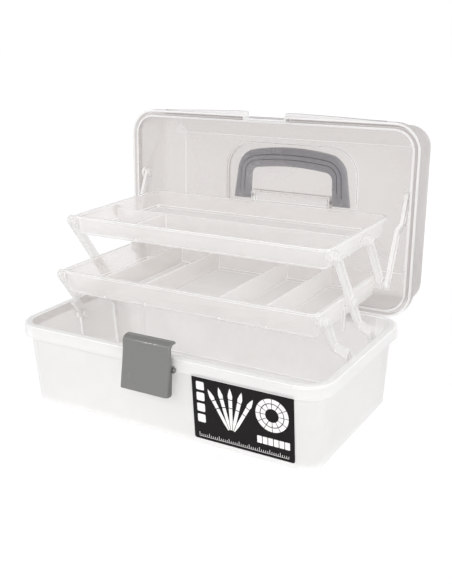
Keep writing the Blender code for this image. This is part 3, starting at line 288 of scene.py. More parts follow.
def moulded_abs(name, colour, roughness):
    """Opaque satin plastic with a fine mould grain and slow changes of gloss."""
    material, tree = new_material(name)
    place = add_node(tree, "ShaderNodeTexCoord")
    wear = add_node(tree, "ShaderNodeTexNoise", values={"Scale": 1 / WEAR_SIZE, "Detail": 3.0},
                    links={"Vector": (place, "Object")})
    grain = add_node(tree, "ShaderNodeTexNoise", values={"Scale": 1 / SATIN_GRAIN_SIZE, "Detail": 1.0},
                     links={"Vector": (place, "Object")})
    bump = add_node(tree, "ShaderNodeBump", values={"Strength": 0.06, "Distance": 0.1 * MM},
                    links={"Height": (grain, 0)})
    satin = add_node(tree, "ShaderNodeMapRange",
                     values={"From Min": 0.3, "From Max": 0.7, "To Min": roughness - WEAR_MORE,
                             "To Max": roughness + WEAR_MORE}, links={"Value": (wear, 0)})
    surface = add_node(tree, "ShaderNodeBsdfPrincipled", values={"Base Color": srgb(colour), "IOR": 1.53},
                       links={"Roughness": (satin, 0), "Normal": (bump, 0)})
    add_node(tree, "ShaderNodeOutputMaterial", links={"Surface": (surface, 0)})
    return material


# Glossy enough to show a thin highlight along the latch's bend
LATCH_PLASTIC = moulded_abs("moulded_abs_latch", "797977", 0.22)
# A cool pale grey, which the lid in front of it darkens
HANDLE_PLASTIC = moulded_abs("moulded_abs_handle", "ADB2BC", 0.3)
# Dark and dull: a painted shade laid in the grooves, so that they read as fine lines from far off
GROOVE_SHADE_PLASTIC = moulded_abs("moulded_abs_dark_strip", "2B2E33", 0.45)
print("moulded ABS:", [plastic.name for plastic in (LATCH_PLASTIC, HANDLE_PLASTIC, GROOVE_SHADE_PLASTIC)])

# %% [markdown]
# The label is a printed film: near-black ink under a thin clear coat, with white ink on top of it. The
# pins of latch and handle are drawn steel rod, a little dull from handling.

# %% Label film, white ink and steel rod
RIPPLE_SIZE = 9 * MM
DRAWN_LINE_SIZE = 0.4 * MM


def printed_film(name, colour, roughness):
    """Smooth ink on film; faint ripples in the glue below move its gloss."""
    material, tree = new_material(name)
    place = add_node(tree, "ShaderNodeTexCoord")
    ripple = add_node(tree, "ShaderNodeTexNoise", values={"Scale": 1 / RIPPLE_SIZE, "Detail": 2.0},
                      links={"Vector": (place, "Object")})
    bump = add_node(tree, "ShaderNodeBump", values={"Strength": 0.1, "Distance": 0.2 * MM},
                    links={"Height": (ripple, 0)})
    satin = add_node(tree, "ShaderNodeMapRange",
                     values={"To Min": roughness - 0.06, "To Max": roughness + 0.06},
                     links={"Value": (ripple, 0)})
    surface = add_node(tree, "ShaderNodeBsdfPrincipled",
                       values={"Base Color": srgb(colour), "IOR": 1.5, "Specular IOR Level": 0.2},
                       links={"Roughness": (satin, 0), "Normal": (bump, 0)})
    add_node(tree, "ShaderNodeOutputMaterial", links={"Surface": (surface, 0)})
    return material


def drawn_steel(name):
    """Steel rod with fine lines along its length, which is the box's X."""
    material, tree = new_material(name)
    place = add_node(tree, "ShaderNodeTexCoord")
    stretch = add_node(tree, "ShaderNodeMapping", values={"Scale": (0.05, 1, 1)},
                       links={"Vector": (place, "Object")})
    lines = add_node(tree, "ShaderNodeTexNoise", values={"Scale": 1 / DRAWN_LINE_SIZE, "Detail": 2.0},
                     links={"Vector": (stretch, 0)})
    dull = add_node(tree, "ShaderNodeMapRange", values={"To Min": 0.25, "To Max": 0.45},
                    links={"Value": (lines, 0)})
    surface = add_node(tree, "ShaderNodeBsdfPrincipled",
                       values={"Base Color": srgb("8C8B89"), "Metallic": 1.0}, links={"Roughness": (dull, 0)})
    add_node(tree, "ShaderNodeOutputMaterial", links={"Surface": (surface, 0)})
    return material


LABEL_FILM = printed_film("printed_film_near_black", "151213", 0.5)
WHITE_INK = printed_film("printed_ink_white", "F4F3F1", 0.4)
PIN_STEEL = drawn_steel("drawn_steel_rod")
print("ink, film and steel:", [one.name for one in (LABEL_FILM, WHITE_INK, PIN_STEEL)])

# %% [markdown]
# A moulding has no knife edges: each one is rounded by a few tenths of a millimetre, and that thin round
# catches the bright line that shows its shape. The solids' meshes are loose triangles, so a copy is
# merged, its flat faces are joined, and a Bevel rounds what is sharper than a corner's own steps. The
# Bevel's clamp is off: tiny edges beside a long one would otherwise hold its rounding back.

# %% Copies of the solids
SHARP = radians(33)
FLAT = radians(0.4)
MERGE = 0.001 * MM


def finished(obj, name):
    """The object with its modifiers turned to a plain mesh."""
    graph = bpy.context.evaluated_depsgraph_get()
    mesh = bpy.data.meshes.new_from_object(obj.evaluated_get(graph))
    mesh.name = name
    bpy.data.objects.remove(obj)
    done = bpy.data.objects.new(name, mesh)
    bpy.context.scene.collection.objects.link(done)
    return done


def merged_copy(node):
    """A copy of a solid's mesh with its triangles joined."""
    copy = bpy.data.objects.new(f"{node}.copy", frame["nodes"][node].data.copy())
    bpy.context.scene.collection.objects.link(copy)
    mesh = bmesh.new()
    mesh.from_mesh(copy.data)
    bmesh.ops.remove_doubles(mesh, verts=mesh.verts, dist=MERGE)
    bmesh.ops.dissolve_limit(mesh, angle_limit=FLAT, verts=mesh.verts, edges=mesh.edges)
    mesh.to_mesh(copy.data)
    mesh.free()
    return copy


def round_edges(obj, width, segments=2):
    """A Bevel on every edge that turns by more than the corners' own steps."""
    bevel = obj.modifiers.new("edge", "BEVEL")
    bevel.width = width
    bevel.segments = segments
    bevel.limit_method = "ANGLE"
    bevel.angle_limit = SHARP
    bevel.use_clamp_overlap = False


def mesh_box(piece):
    """The lowest and highest corners of a mesh."""
    places = [vertex.co for vertex in piece.data.vertices]
    return [Vector([pick(place[axis] for place in places) for axis in range(3)]) for pick in (min, max)]


# %% [markdown]
# Milk builds up where light has far to go: at narrow edges, where it enters from the side, and where much
# plastic lies behind a face. A ray cast into the plastic behind each face measures that depth. The result
# is written on the faces as an attribute that the material reads. A second attribute paints shade on the
# faces that look at the middle of their tub, most at its left end.

# %% Marks that the frosted plastic reads
NARROW_FULL = 0.8 * MM
NARROW_NONE = 1.5 * MM
DEEP_NONE = 3 * MM
DEEP = 9 * MM
UNDER_FACE = 0.02 * MM
INSIDE_FADE = 0.7


def mark_milkiness(piece, outward_milk):
    """Faces that are narrow, have much plastic behind them or look outward get more of the milk."""
    mesh = piece.data
    middle = sum(mesh_box(piece), Vector()) / 2
    mesh.calc_loop_triangles()
    places = [vertex.co.copy() for vertex in mesh.vertices]
    tree = BVHTree.FromPolygons(places, [tuple(t.vertices) for t in mesh.loop_triangles])
    depths = {}
    for triangle in mesh.loop_triangles:
        a, b, c = (places[i] for i in triangle.vertices)
        normal = mesh.polygons[triangle.polygon_index].normal
        for shares in ((1, 1, 1), (4, 1, 1), (1, 4, 1), (1, 1, 4)):
            start = (a * shares[0] + b * shares[1] + c * shares[2]) / sum(shares) - normal * UNDER_FACE
            distance = tree.ray_cast(start, -normal, DEEP)[3]
            depths.setdefault(triangle.polygon_index, []).append(DEEP if distance is None else distance)
    attribute = mesh.attributes.new("milkiness", "FLOAT", "FACE")
    for index, face in enumerate(mesh.polygons):
        rim = sum((places[i] - places[j]).length for i, j in face.edge_keys)
        narrow = (NARROW_NONE - 2 * face.area / rim) / (NARROW_NONE - NARROW_FULL)
        behind = sorted(depths[index])
        deep = (behind[len(behind) // 4] - DEEP_NONE) / (DEEP - DEEP_NONE)
        outward = outward_milk if face.normal.dot(face.center - middle) > 0 else 0.0
        attribute.data[index].value = min(1.0, max(outward, narrow, deep))


def paint_inside_shade(piece):
    """Faces that look at the middle of a tub get a painted shade, less and less towards the right."""
    mesh = piece.data
    low, high = mesh_box(piece)
    middle = (low + high) / 2
    attribute = mesh.attributes.new("inside", "FLOAT", "FACE")
    for face in mesh.polygons:
        inward = middle - face.center
        looks_in = face.normal.x * inward.x + face.normal.y * inward.y > 0
        to_left = (high.x - face.center.x) / (high.x - low.x)
        attribute.data[face.index].value = to_left ** INSIDE_FADE if looks_in else 0.0


# %% [markdown]
# A finished piece rides on its body and stands for the solids that it replaces. The tub, the lid, the
# trays, the arms and the links are the solids' own shapes with rounded edges. They could be drawn again,
# but copies keep every size. Thicker mouldings get the wider rounding.

# %% Tub, lid, trays and arms
LID_OUTWARD_MILK = 0.2
BODY_OF = {node: body for body, nodes in frame["record"]["behaviour"]["bodies"].items() for node in nodes}


def dressed(piece, material, slot, *nodes, body=None):
    """A finished mesh with its material, riding on its body and standing for its solids."""
    piece.data.materials.clear()
    piece.data.materials.append(material)
    piece.data.shade_smooth()
    piece.data.set_sharp_from_angle(angle=SHARP)
    if material in FROSTED:
        mark_milkiness(piece, LID_OUTWARD_MILK if material == LID_PLASTIC else 0.0)
        paint_inside_shade(piece)
    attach(piece, body or BODY_OF[nodes[0]])
    if nodes:
        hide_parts(*nodes)
    size = [round((high - low) / MM, 1) for low, high in zip(*mesh_box(piece))]
    print(piece.name, len(piece.data.polygons), "faces", size, "mm")
    return piece


def softened(node, name, width, material, slot):
    """A copy of a solid with rounded edges, which stands for it."""
    copy = merged_copy(node)
    round_edges(copy, width)
    return dressed(finished(copy, name), material, slot, node)


softened("base_box", "base_tub", 0.5 * MM, BASE_PLASTIC, "frosted_base")
softened("lid_shell", "lid_cover", 0.6 * MM, LID_PLASTIC, "frosted_lid")
softened("lower_tray", "tray_lower", 0.45 * MM, TRAY_PLASTIC, "frosted_tray")
softened("upper_tray", "tray_upper", 0.45 * MM, TRAY_PLASTIC, "frosted_tray")
for letter in ("l", "r"):
    for arm in ("front_arm", "long_arm", "rear_arm", "lid_link"):
        softened(f"{arm}_{letter}", f"{arm}_bar_{letter}", 0.35 * MM, ARM_PLASTIC, "white_arm")

# %% [markdown]
# Some shapes are drawn as flat outlines and given a thickness, such as the label's print, and some as a
# row of sections, such as the latch. One helper closes a skin over such rings, and another joins bodies
# or cuts one from another.

# %% Helpers for drawn bodies


def skin(rings):
    """A closed body over rings of points, with its normals outward."""
    mesh = bmesh.new()
    rows = [[mesh.verts.new(point) for point in ring] for ring in rings]
    for lower, upper in zip(rows, rows[1:]):
        for index in range(len(lower)):
            after = (index + 1) % len(lower)
            mesh.faces.new((lower[index], lower[after], upper[after], upper[index]))
    mesh.faces.new(rows[0])
    mesh.faces.new(rows[-1])
    bmesh.ops.recalc_face_normals(mesh, faces=mesh.faces)
    return mesh


def prism(outline, near, far, place):
    """An outline drawn out from near to far; place turns (u, v, w) to a point."""
    return skin([[place(u, v, w) for u, v in outline] for w in (near, far)])


def add_body(name, *meshes):
    """One object from one or more bmesh bodies."""
    data = bpy.data.meshes.new(name)
    whole = bmesh.new()
    for mesh in meshes:
        mesh.to_mesh(data)
        mesh.free()
        whole.from_mesh(data)
    whole.to_mesh(data)
    whole.free()
    body = bpy.data.objects.new(name, data)
    bpy.context.scene.collection.objects.link(body)
    return body


def combine(body, operation, tool_mesh):
    """The body with another joined to it or cut from it."""
    tool = add_body("tool", tool_mesh)
    step = body.modifiers.new("step", "BOOLEAN")
    step.operation = operation
    step.object = tool
    done = finished(body, body.name)
    bpy.data.objects.remove(tool)
    return done


def arc(centre, radius, start, end, steps):
    """Points of an arc in degrees, with both of its ends."""
    turns = [radians(start + (end - start) * step / steps) for step in range(steps + 1)]
    return [(centre[0] + radius * cos(a), centre[1] + radius * sin(a)) for a in turns]


# %% [markdown]
# The latch is a channel: a face with rounded sides that turn back into two flanges, bent over at its top
# into a hook that drops behind the catch. It could be modelled from a cube, but one section and one path
# say it all: the channel's section is lofted along the side view, and its flanges get shallower upward.

# %% Latch plate
LATCH_PIN = Vector((0, -99.5, 74.0))
LATCH_HALF = 25.4
LATCH_HOOK_HALF = 22.0
LATCH_SHEET = 2.2
LATCH_FLANGE = 2.0
LATCH_CORNER = 2.8
LATCH_CHAMFER = 0.3
LATCH_BEND = 6.2
LATCH_TOP = 24.7
EAR_RADIUS = 3.7
BORE_RADIUS = 2.1


def beside_pin(y, z, x):
    """A point from its place beside the latch's pin, in millimetres."""
    return (LATCH_PIN + Vector((x, y, z))) * MM


def channel(depth):
    """The latch's section: places across it and behind its face, with flanges of some depth."""
    sheet = min(LATCH_SHEET, depth * 0.95)
    radius = min(LATCH_CORNER, depth * 0.7)
    inner = LATCH_HALF - LATCH_FLANGE
    corner = arc((LATCH_HALF - radius, radius), radius, -90, 0, 7)
    end = [(LATCH_HALF, depth - LATCH_CHAMFER), (LATCH_HALF - LATCH_CHAMFER, depth),
           (inner + LATCH_CHAMFER, depth), (inner, depth - 0.03)]
    right = corner + end + [(inner, sheet - 0.04)]
    return right + [(-x, behind) for x, behind in reversed(right)]


def lofted(stations):
    """A body over sections along the path; each station is a place on the face and a depth."""
    rings = []
    for index, (y, z, depth) in enumerate(stations):
        before = stations[max(index - 1, 0)]
        after = stations[min(index + 1, len(stations) - 1)]
        along = Vector((after[0] - before[0], after[1] - before[1])).normalized()
        rings.append([beside_pin(y + along.y * behind, z - along.x * behind, x)
                      for x, behind in channel(depth)])
    return skin(rings)


def rounded_body(mesh, width):
    """A body whose edges are rounded before it is joined to others."""
    body = add_body("part", mesh)
    round_edges(body, width, 3)
    done = finished(body, "part")
    mesh = bmesh.new()
    mesh.from_mesh(done.data)
    bpy.data.objects.remove(done)
    return mesh


bend = arc((-4 + LATCH_BEND, LATCH_TOP - LATCH_BEND), LATCH_BEND, 180, 90, 12)
# Each station says how far before the pin and above it the face lies, and how deep the flanges are.
side_view = [(-11, -22.5, 6.6), (-10.7, -20.6, 8.5), (-9.8, -16, 8.0), (-8.6, -9, 7.4),
             (-7.4, -3.6, 6.8), (-6.5, 1.6, 5.8), (-5.2, 10, 4.2), (-4.3, 15.5, 3.2)]
side_view += [(y, z, 3.0 - 0.06 * step) for step, (y, z) in enumerate(bend)]
side_view += [(3.6, LATCH_TOP, 2.2), (5.8, LATCH_TOP, 2.2)]
latch = add_body("latch_plate", lofted(side_view))
hook = [(2.4, LATCH_TOP - 0.03), (6.1, LATCH_TOP - 0.03), (6.1, 20.2), (3.1, 20.2), (2.4, 22.9)]
hook_body = prism(hook, -LATCH_HOOK_HALF, LATCH_HOOK_HALF, beside_pin)
latch = combine(latch, "UNION", rounded_body(hook_body, 0.4 * MM))
ear = arc((0, 0), EAR_RADIUS, -80, 80, 12) + [(-4.6, 3.6), (-5.6, -3.6)]
for side in (-1, 1):
    edge = side * (LATCH_HALF - 0.05)
    ear_body = prism(ear, edge - side * (LATCH_FLANGE - 0.1), edge, beside_pin)
    latch = combine(latch, "UNION", rounded_body(ear_body, 0.3 * MM))
bore = prism(arc((0, 0), BORE_RADIUS, 0, 345, 23), -30, 30, beside_pin)
latch = combine(latch, "DIFFERENCE", bore)
dressed(latch, LATCH_PLASTIC, "latch_grey", "latch")

# %% [markdown]
# The handle's bow has two fine grooves on each face that follow its sweep from foot to foot. A groove
# could be painted as a dark line, but cut into the shape it also catches the light from other sides. A
# Geometry Nodes tree sweeps a narrow, deep tool along the drawn paths and cuts it from the bow.

# %% A tree that cuts grooves along paths


def new_tree(name, inputs):
    """A Geometry Nodes tree with named inputs, and its input and output nodes."""
    tree = bpy.data.node_groups.new(name, "GeometryNodeTree")
    tree.interface.new_socket("Geometry", in_out="INPUT", socket_type="NodeSocketGeometry")
    for label, kind in inputs.items():
        tree.interface.new_socket(label, in_out="INPUT", socket_type=f"NodeSocket{kind}")
    tree.interface.new_socket("Geometry", in_out="OUTPUT", socket_type="NodeSocketGeometry")
    return tree, add_node(tree, "NodeGroupInput")


def end_tree(tree, source, start):
    """Realized instances and the material, which every tree here ends in."""
    real = add_node(tree, "GeometryNodeRealizeInstances", links={0: source})
    painted = add_node(tree, "GeometryNodeSetMaterial",
                       links={"Geometry": (real, 0), "Material": (start, "Material")})
    add_node(tree, "NodeGroupOutput", links={0: (painted, 0)})


def shaped(obj, tree, **values):
    """The object with the tree on it; each input is set by its socket's identifier."""
    modifier = obj.modifiers.new(tree.name, "NODES")
    modifier.node_group = tree
    sockets = {item.name: item.identifier for item in tree.interface.items_tree if item.in_out == "INPUT"}
    for label, value in values.items():
        modifier[sockets[label.replace("_", " ")]] = value
    return obj


groove_tree, start = new_tree("cut_grooves", {"Paths": "Object", "Groove Width": "Float",
                                              "Groove Depth": "Float", "Material": "Material"})
drawn = add_node(groove_tree, "GeometryNodeObjectInfo", links={"Object": (start, "Paths")})
reach = add_node(groove_tree, "ShaderNodeMath", {"operation": "MULTIPLY"}, {1: 2.0},
                 {0: (start, "Groove Depth")})
section = add_node(groove_tree, "GeometryNodeCurvePrimitiveQuadrilateral",
                   links={"Width": (start, "Groove Width"), "Height": (reach, 0)})
tool = add_node(groove_tree, "GeometryNodeCurveToMesh", values={"Fill Caps": True},
                links={"Curve": (drawn, "Geometry"), "Profile Curve": (section, 0)})
cut = add_node(groove_tree, "GeometryNodeMeshBoolean", {"operation": "DIFFERENCE", "solver": "EXACT"},
               links={"Mesh 1": (start, "Geometry"), "Mesh 2": (tool, 0)})
end_tree(groove_tree, (cut, "Mesh"), start)

# %% [markdown]
# The bow is worked on as it lies in the closed lid, level, and then turned with the lid to its open place.
# Its bar is first arched a little more towards the corners. The groove paths follow the same rule: up one
# leg, round the corner, along the arched bar and down the other leg.

# %% Handle with its grooves
LID_HINGE = Vector((0, 97.07, 75.33)) * MM
LID_TRAVEL = radians(92.5)
OPENING = (Matrix.Translation(LID_HINGE) @ Matrix.Rotation(-LID_TRAVEL, 4, "X")
           @ Matrix.Translation(-LID_HINGE))
HANDLE_MIDDLE_Z = 150.5
HANDLE_HALF = 4.0
ARCH_MORE = 2.8
ARCH_SPAN = 49.5
BAR_FORWARD = 0.5
LEG_LENGTH = 40.0
GROOVE_SPACING = 5.2
GROOVE_WIDTH = 1.0
GROOVE_DEPTH = 1.2
GROOVE_CORNER = (43.0, -29.6)
GROOVE_RADIUS = 15.0
GROOVE_LEG = ((58.3, -22), (59.2, -7))
BAR_RISE = 0.9
BAR_STEPS = 8


def arched(x, y):
    """The plan place of a point of the bow, in millimetres, once the bar is arched."""
    share = min(max(-y / LEG_LENGTH, 0), 1)
    return x, y + share * (ARCH_MORE * (x / ARCH_SPAN) ** 2 - BAR_FORWARD)


def groove_line(out):
    """Half of a groove in plan, from the middle of the bar to the foot, shifted outward."""
    corner_x, corner_y = GROOVE_CORNER
    radius = GROOVE_RADIUS + out
    bar = [(corner_x * step / BAR_STEPS, corner_y - radius - BAR_RISE + BAR_RISE * (step / BAR_STEPS) ** 2)
           for step in range(BAR_STEPS)]
    leg = [(x + out, y) for x, y in GROOVE_LEG]
    return [arched(x, y) for x, y in bar + arc(GROOVE_CORNER, radius, -90, -6, 9) + leg]


def groove_paths(from_middle):
    """The four paths as one curve object, at a distance above and below the bow's middle."""
    paths = bpy.data.curves.new("groove_paths", "CURVE")
    paths.dimensions = "3D"
    for height in (HANDLE_MIDDLE_Z - from_middle, HANDLE_MIDDLE_Z + from_middle):
        for out in (-GROOVE_SPACING / 2, GROOVE_SPACING / 2):
            half = groove_line(out)
            plan = [(-x, y) for x, y in reversed(half[1:])] + half
            spline = paths.splines.new("POLY")
            spline.points.add(len(plan) - 1)
            for point, (x, y) in zip(spline.points, plan):
                point.co = (x * MM, y * MM, height * MM, 1)
    path_object = bpy.data.objects.new("groove_paths", paths)
    bpy.context.scene.collection.objects.link(path_object)
    return path_object


path_object = groove_paths(HANDLE_HALF)
bow = merged_copy("handle")
bow.data.transform(OPENING.inverted())
for vertex in bow.data.vertices:
    x, y = arched(vertex.co.x / MM, vertex.co.y / MM)
    vertex.co.y = y * MM
shaped(bow, groove_tree, Paths=path_object, Groove_Width=GROOVE_WIDTH * MM,
       Groove_Depth=GROOVE_DEPTH * MM, Material=HANDLE_PLASTIC)
bow = finished(bow, "handle_bow")
bpy.data.objects.remove(path_object)
bow.data.transform(OPENING)
dressed(bow, HANDLE_PLASTIC, "handle_grey", "handle")

# %% [markdown]
# A dark strip of painted shade lies in each groove, a little below the face. The same paths, drawn nearer to
# the middle of the bow, carry it: a second, shorter tree sweeps a rectangle along them.

# %% Painted shade strips in the grooves
SHADE_STRIP_DEPTH = 0.9
SHADE_STRIP_BELOW = 0.3

strip_tree, start = new_tree("swept_strips", {"Strip Width": "Float", "Strip Height": "Float",
                                              "Material": "Material"})
section = add_node(strip_tree, "GeometryNodeCurvePrimitiveQuadrilateral",
                   links={"Width": (start, "Strip Width"), "Height": (start, "Strip Height")})
swept = add_node(strip_tree, "GeometryNodeCurveToMesh", values={"Fill Caps": True},
                 links={"Curve": (start, "Geometry"), "Profile Curve": (section, 0)})
end_tree(strip_tree, (swept, 0), start)

strips = groove_paths(HANDLE_HALF - SHADE_STRIP_BELOW - SHADE_STRIP_DEPTH / 2)
shaped(strips, strip_tree, Strip_Width=GROOVE_WIDTH * MM, Strip_Height=SHADE_STRIP_DEPTH * MM,
       Material=GROOVE_SHADE_PLASTIC)
strips = finished(strips, "handle_strips")
strips.data.transform(OPENING)
dressed(strips, GROOVE_SHADE_PLASTIC, "handle_grey", body="handle")

# %% [markdown]
# A small pale pad on each foot of the bow is a painted highlight: it stands in for the glint seen there.

# %% Pale pads under the feet, which stand in for glints
PAD_X = 61.5
PAD_Y = -0.8
PAD_RADIUS = 1.1
PAD_DEPTH = 0.22


def glint_pad(x, y, radius, depth):
    """A low round pad with a rounded edge on the underside of the handle."""
    low = HANDLE_MIDDLE_Z - HANDLE_HALF
    rings = [(radius * 0.7, low - depth), (radius, low - depth * 0.4), (radius, low + 0.3)]
    return skin([[OPENING @ (Vector((px, py, height)) * MM) for px, py in arc((x, y), r, 0, 345, 23)]
                 for r, height in rings])


# The pale pads are painted highlights at the two feet.
foot_glints = add_body("handle_pads", *[glint_pad(x, PAD_Y, PAD_RADIUS, PAD_DEPTH) for x in (-PAD_X, PAD_X)])
dressed(foot_glints, ARM_PLASTIC, "white_pin", body="handle")

# %% [markdown]
# Fourteen headed pins hold arms, trays, base and lid together. They repeat, so one Geometry Nodes tree
# makes them all: each point stands under a head, carries the shank's length, and gets an instance of the
# domed head and one of the shank. The heads turn to the side that the pin goes in from.

# %% A tree for headed pins
pin_tree, start = new_tree("headed_pins", {"Shank Radius": "Float", "Head Radius": "Float",
                                           "Head Thickness": "Float", "Dome": "Float", "Sides": "Int",
                                           "Material": "Material"})
shank = add_node(pin_tree, "GeometryNodeMeshCylinder", values={"Depth": 1.0},
                 links={"Vertices": (start, "Sides"), "Radius": (start, "Shank Radius")})
head = add_node(pin_tree, "GeometryNodeMeshCylinder", values={"Fill Segments": 4},
                links={"Vertices": (start, "Sides"), "Radius": (start, "Head Radius"),
                       "Depth": (start, "Head Thickness")})
place = add_node(pin_tree, "GeometryNodeInputPosition")
parts = add_node(pin_tree, "ShaderNodeSeparateXYZ", links={0: (place, 0)})
flat = add_node(pin_tree, "ShaderNodeCombineXYZ", links={"X": (parts, "X"), "Y": (parts, "Y")})
out = add_node(pin_tree, "ShaderNodeVectorMath", {"operation": "LENGTH"}, links={0: (flat, 0)})
share = add_node(pin_tree, "ShaderNodeMath", {"operation": "DIVIDE"},
                 links={0: (out, "Value"), 1: (start, "Head Radius")})
square = add_node(pin_tree, "ShaderNodeMath", {"operation": "MULTIPLY"},
                  links={0: (share, 0), 1: (share, 0)})
sink = add_node(pin_tree, "ShaderNodeMath", {"operation": "MULTIPLY"},
                links={0: (square, 0), 1: (start, "Dome")})
down = add_node(pin_tree, "ShaderNodeMath", {"operation": "MULTIPLY"}, {1: -1.0}, {0: (sink, 0)})
shift = add_node(pin_tree, "ShaderNodeCombineXYZ", links={"Z": (down, 0)})
outer_face = add_node(pin_tree, "ShaderNodeMath", {"operation": "GREATER_THAN"}, {1: 0.0},
                      {0: (parts, "Z")})
domed = add_node(pin_tree, "GeometryNodeSetPosition",
                 links={"Geometry": (head, "Mesh"), "Selection": (outer_face, 0), "Offset": (shift, 0)})
lift = add_node(pin_tree, "ShaderNodeMath", {"operation": "MULTIPLY"}, {1: 0.5},
                {0: (start, "Head Thickness")})
lift_by = add_node(pin_tree, "ShaderNodeCombineXYZ", links={"Z": (lift, 0)})
seated = add_node(pin_tree, "GeometryNodeTransform",
                  links={"Geometry": (domed, 0), "Translation": (lift_by, 0)})
hung = add_node(pin_tree, "GeometryNodeTransform", values={"Translation": (0, 0, -0.5)},
                links={"Geometry": (shank, "Mesh")})
length = add_node(pin_tree, "GeometryNodeInputNamedAttribute", {"data_type": "FLOAT"},
                  {"Name": "shank_length"})
stretch = add_node(pin_tree, "ShaderNodeCombineXYZ", values={"X": 1, "Y": 1}, links={"Z": (length, 0)})
facing = add_node(pin_tree, "GeometryNodeInputNamedAttribute", {"data_type": "FLOAT_VECTOR"},
                  {"Name": "head_turn"})
heads = add_node(pin_tree, "GeometryNodeInstanceOnPoints",
                 links={"Points": (start, "Geometry"), "Instance": (seated, 0), "Rotation": (facing, 0)})
shanks = add_node(pin_tree, "GeometryNodeInstanceOnPoints",
                  links={"Points": (start, "Geometry"), "Instance": (hung, 0), "Rotation": (facing, 0),
                         "Scale": (stretch, 0)})
both = add_node(pin_tree, "GeometryNodeJoinGeometry")
pin_tree.links.new(heads.outputs[0], both.inputs[0])
pin_tree.links.new(shanks.outputs[0], both.inputs[0])
end_tree(pin_tree, (both, 0), start)

# %% [markdown]
# Each solid's box says where its pin lies. Pins in the trays carry their head on the outside, pins in the
# base and the lid on the inside.

# %% Pivot pins
PIN_SHANK = 1.8
PIN_HEAD = 4.0
PIN_HEAD_THICK = 1.3
PIN_DOME = 0.35

pins_of = {}
for node in frame["nodes"]:
    if "_pin_" in node and not node.startswith(("handle", "hinge")):
        pins_of.setdefault(BODY_OF[node], []).append(node)
for body, nodes in pins_of.items():
    seats = []
    turns = []
    lengths = []
    for node in sorted(nodes):
        low, high = (Vector(corner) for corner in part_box(node))
        middle = (low + high) / 2
        outward = 1 if middle.x > 0 else -1
        if body in ("base", "lid"):
            outward = -outward
        head_end = high.x if outward > 0 else low.x
        seats.append((head_end - outward * PIN_HEAD_THICK * MM, middle.y, middle.z))
        turns.append((0, radians(90) * outward, 0))
        lengths.append(high.x - low.x - PIN_HEAD_THICK * MM)
    points = bpy.data.meshes.new(f"pins_{body}")
    points.from_pydata(seats, [], [])
    length_of = points.attributes.new("shank_length", "FLOAT", "POINT")
    length_of.data.foreach_set("value", lengths)
    turn_of = points.attributes.new("head_turn", "FLOAT_VECTOR", "POINT")
    turn_of.data.foreach_set("vector", sum(turns, ()))
    pins = bpy.data.objects.new(f"pins_{body}", points)
    bpy.context.scene.collection.objects.link(pins)
    shaped(pins, pin_tree, Shank_Radius=PIN_SHANK * MM, Head_Radius=PIN_HEAD * MM,
           Head_Thickness=PIN_HEAD_THICK * MM, Dome=PIN_DOME * MM, Sides=24, Material=ARM_PLASTIC)
    dressed(finished(pins, f"pivot_pins_{body}"), ARM_PLASTIC, "white_pin", *sorted(nodes))

# %% [markdown]
# The latch's pin, the handle's pins and the hinge pins are plain rods whose solids are right as they are,
# so they stay and only get their steel or plastic.

# %% Rods and label film
for node, piece in frame["nodes"].items():
    if node.startswith(("latch_pin", "handle_pin", "hinge_pin")):
        piece.data.materials.clear()
        piece.data.materials.append(ARM_PLASTIC if node.startswith("hinge") else PIN_STEEL)
label = frame["nodes"]["front_label"]
label.data.materials.clear()
label.data.materials.append(LABEL_FILM)
print("label film:", len(label.data.polygons), "faces")

# %% [markdown]
# The label's print is white ink on the dark film: a wheel of tints, a fan of brushes, a column of swatches,
# a value scale and a ruler. Ink has a thickness that catches the light, so each motif is a thin plate on
# the film. What repeats is drawn once, and a Geometry Nodes tree sets the copies along a step or a turn.

# %% A tree that repeats a printed motif
# The front wall, and the film on it, draws in towards its foot, by 4.8 mm over 80 mm of height.
LABEL_MIDDLE = Vector((87.0, -87.02, 38.5))
LABEL_SLOPE = atan2(4.8, 80.0)
FILM_TOP = 0.7
INK = 0.07
LABEL_PLACE = Matrix.Translation(LABEL_MIDDLE) @ Matrix.Rotation(radians(90) + LABEL_SLOPE, 4, "X")

print_tree, start = new_tree("repeated_print", {"Count": "Int", "Step": "Vector", "Turn": "Float",
                                                "Long Every": "Int", "Long Scale": "Float",
                                                "Material": "Material"})
row = add_node(print_tree, "GeometryNodeMeshLine",
               links={"Count": (start, "Count"), "Offset": (start, "Step")})
number = add_node(print_tree, "GeometryNodeInputIndex")
turn = add_node(print_tree, "ShaderNodeMath", {"operation": "MULTIPLY"},
                links={0: (number, 0), 1: (start, "Turn")})
turn_by = add_node(print_tree, "ShaderNodeCombineXYZ", links={"Z": (turn, 0)})
beat = add_node(print_tree, "ShaderNodeMath", {"operation": "MODULO"},
                links={0: (number, 0), 1: (start, "Long Every")})
long_one = add_node(print_tree, "ShaderNodeMath", {"operation": "LESS_THAN"}, {1: 0.5}, {0: (beat, 0)})
scale = add_node(print_tree, "ShaderNodeMapRange", values={"To Min": 1.0},
                 links={"Value": (long_one, 0), "To Max": (start, "Long Scale")})
scale_by = add_node(print_tree, "ShaderNodeCombineXYZ", values={"X": 1, "Z": 1}, links={"Y": (scale, 0)})
copies = add_node(print_tree, "GeometryNodeInstanceOnPoints",
                  links={"Points": (row, 0), "Instance": (start, "Geometry"), "Rotation": (turn_by, 0),
                         "Scale": (scale_by, 0)})
end_tree(print_tree, (copies, 0), start)

# %% [markdown]
# A motif is drawn round its own origin in millimetres, repeated there, and then laid on the film. The
# outlines could come from a drawing program, but a few numbers keep them sharp at any size. The brushes
# lean half a radian to the left at first, and each next one turns back by a quarter.

# %% Printed motifs
FAN_LEAN = 0.5


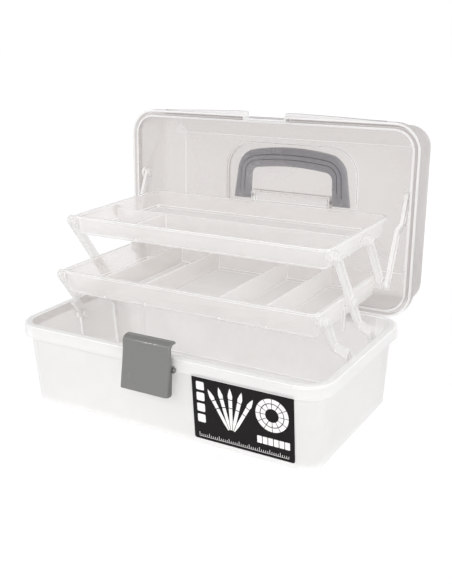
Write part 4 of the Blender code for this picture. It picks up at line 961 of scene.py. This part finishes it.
def printed(name, outlines, at, count=1, step=(0, 0, 0), turn=0.0, long_every=1, long_scale=1.0):
    """Thin plates of ink from flat outlines, repeated and laid on the sloping film."""
    plates = [prism(outline, 0, INK, lambda u, v, w: Vector((u, v, w))) for outline in outlines]
    motif = add_body(name, *plates)
    shaped(motif, print_tree, Count=count, Step=step, Turn=turn, Long_Every=long_every,
           Long_Scale=long_scale, Material=WHITE_INK)
    motif = finished(motif, name)
    motif.data.transform(LABEL_PLACE @ Matrix.Translation((*at, FILM_TOP)))
    motif.data.transform(Matrix.Scale(MM, 4))
    return dressed(motif, WHITE_INK, "label_print", body="base")


def wedge(inner, outer, gap, width):
    """A wedge of a ring between two radii, in degrees, with a gap on either side."""
    return arc((0, 0), outer, gap, width - gap, 6) + arc((0, 0), inner, width - gap, gap, 6)


def tile(width, height, corner):
    """A rectangle with rounded corners, its middle at the origin."""
    x = width / 2 - corner
    y = height / 2 - corner
    centres = ((x, y), (-x, y), (-x, -y), (x, -y))
    return [point for quarter, centre in enumerate(centres)
            for point in arc(centre, corner, 90 * quarter, 90 * quarter + 90, 4)]


printed("print_wheel", [wedge(11.6, 15.6, 1.2, 30), wedge(6.4, 10.8, 2.0, 30)], (29, 9), 12,
        turn=radians(30))
brush = [[(-0.5, 6), (0.5, 6), (1.5, 14), (1.7, 27), (-1.7, 27), (-1.5, 14)],
         [(-1.7, 27.8), (1.7, 27.8), (1.9, 35), (-1.9, 35)],
         [(-1.9, 35.8), (1.9, 35.8), (2.3, 39), (1.2, 43.5), (0, 46.5), (-1.2, 43.5), (-2.3, 39)]]
fan = [[(x * cos(FAN_LEAN) - y * sin(FAN_LEAN), x * sin(FAN_LEAN) + y * cos(FAN_LEAN)) for x, y in part]
       for part in brush]
printed("print_brushes", fan, (-11, -21), 5, turn=-FAN_LEAN / 2)
printed("print_swatches", [tile(8, 8, 1.2)], (-41, 21.5), 4, (0, -10.6, 0))
printed("print_scale", [tile(4.6, 7, 0.5)], (16.5, -16.5), 6, (5.3, 0, 0))
printed("print_ruler", [[(-0.2, 0), (0.2, 0), (0.2, 1.8), (-0.2, 1.8)]], (-44, -28), 45, (2, 0, 0),
        long_every=5, long_scale=1.9)
printed("print_ruler_line", [[(-44.2, 0), (44.2, 0), (44.2, 0.3), (-44.2, 0.3)]], (0, -28.6))
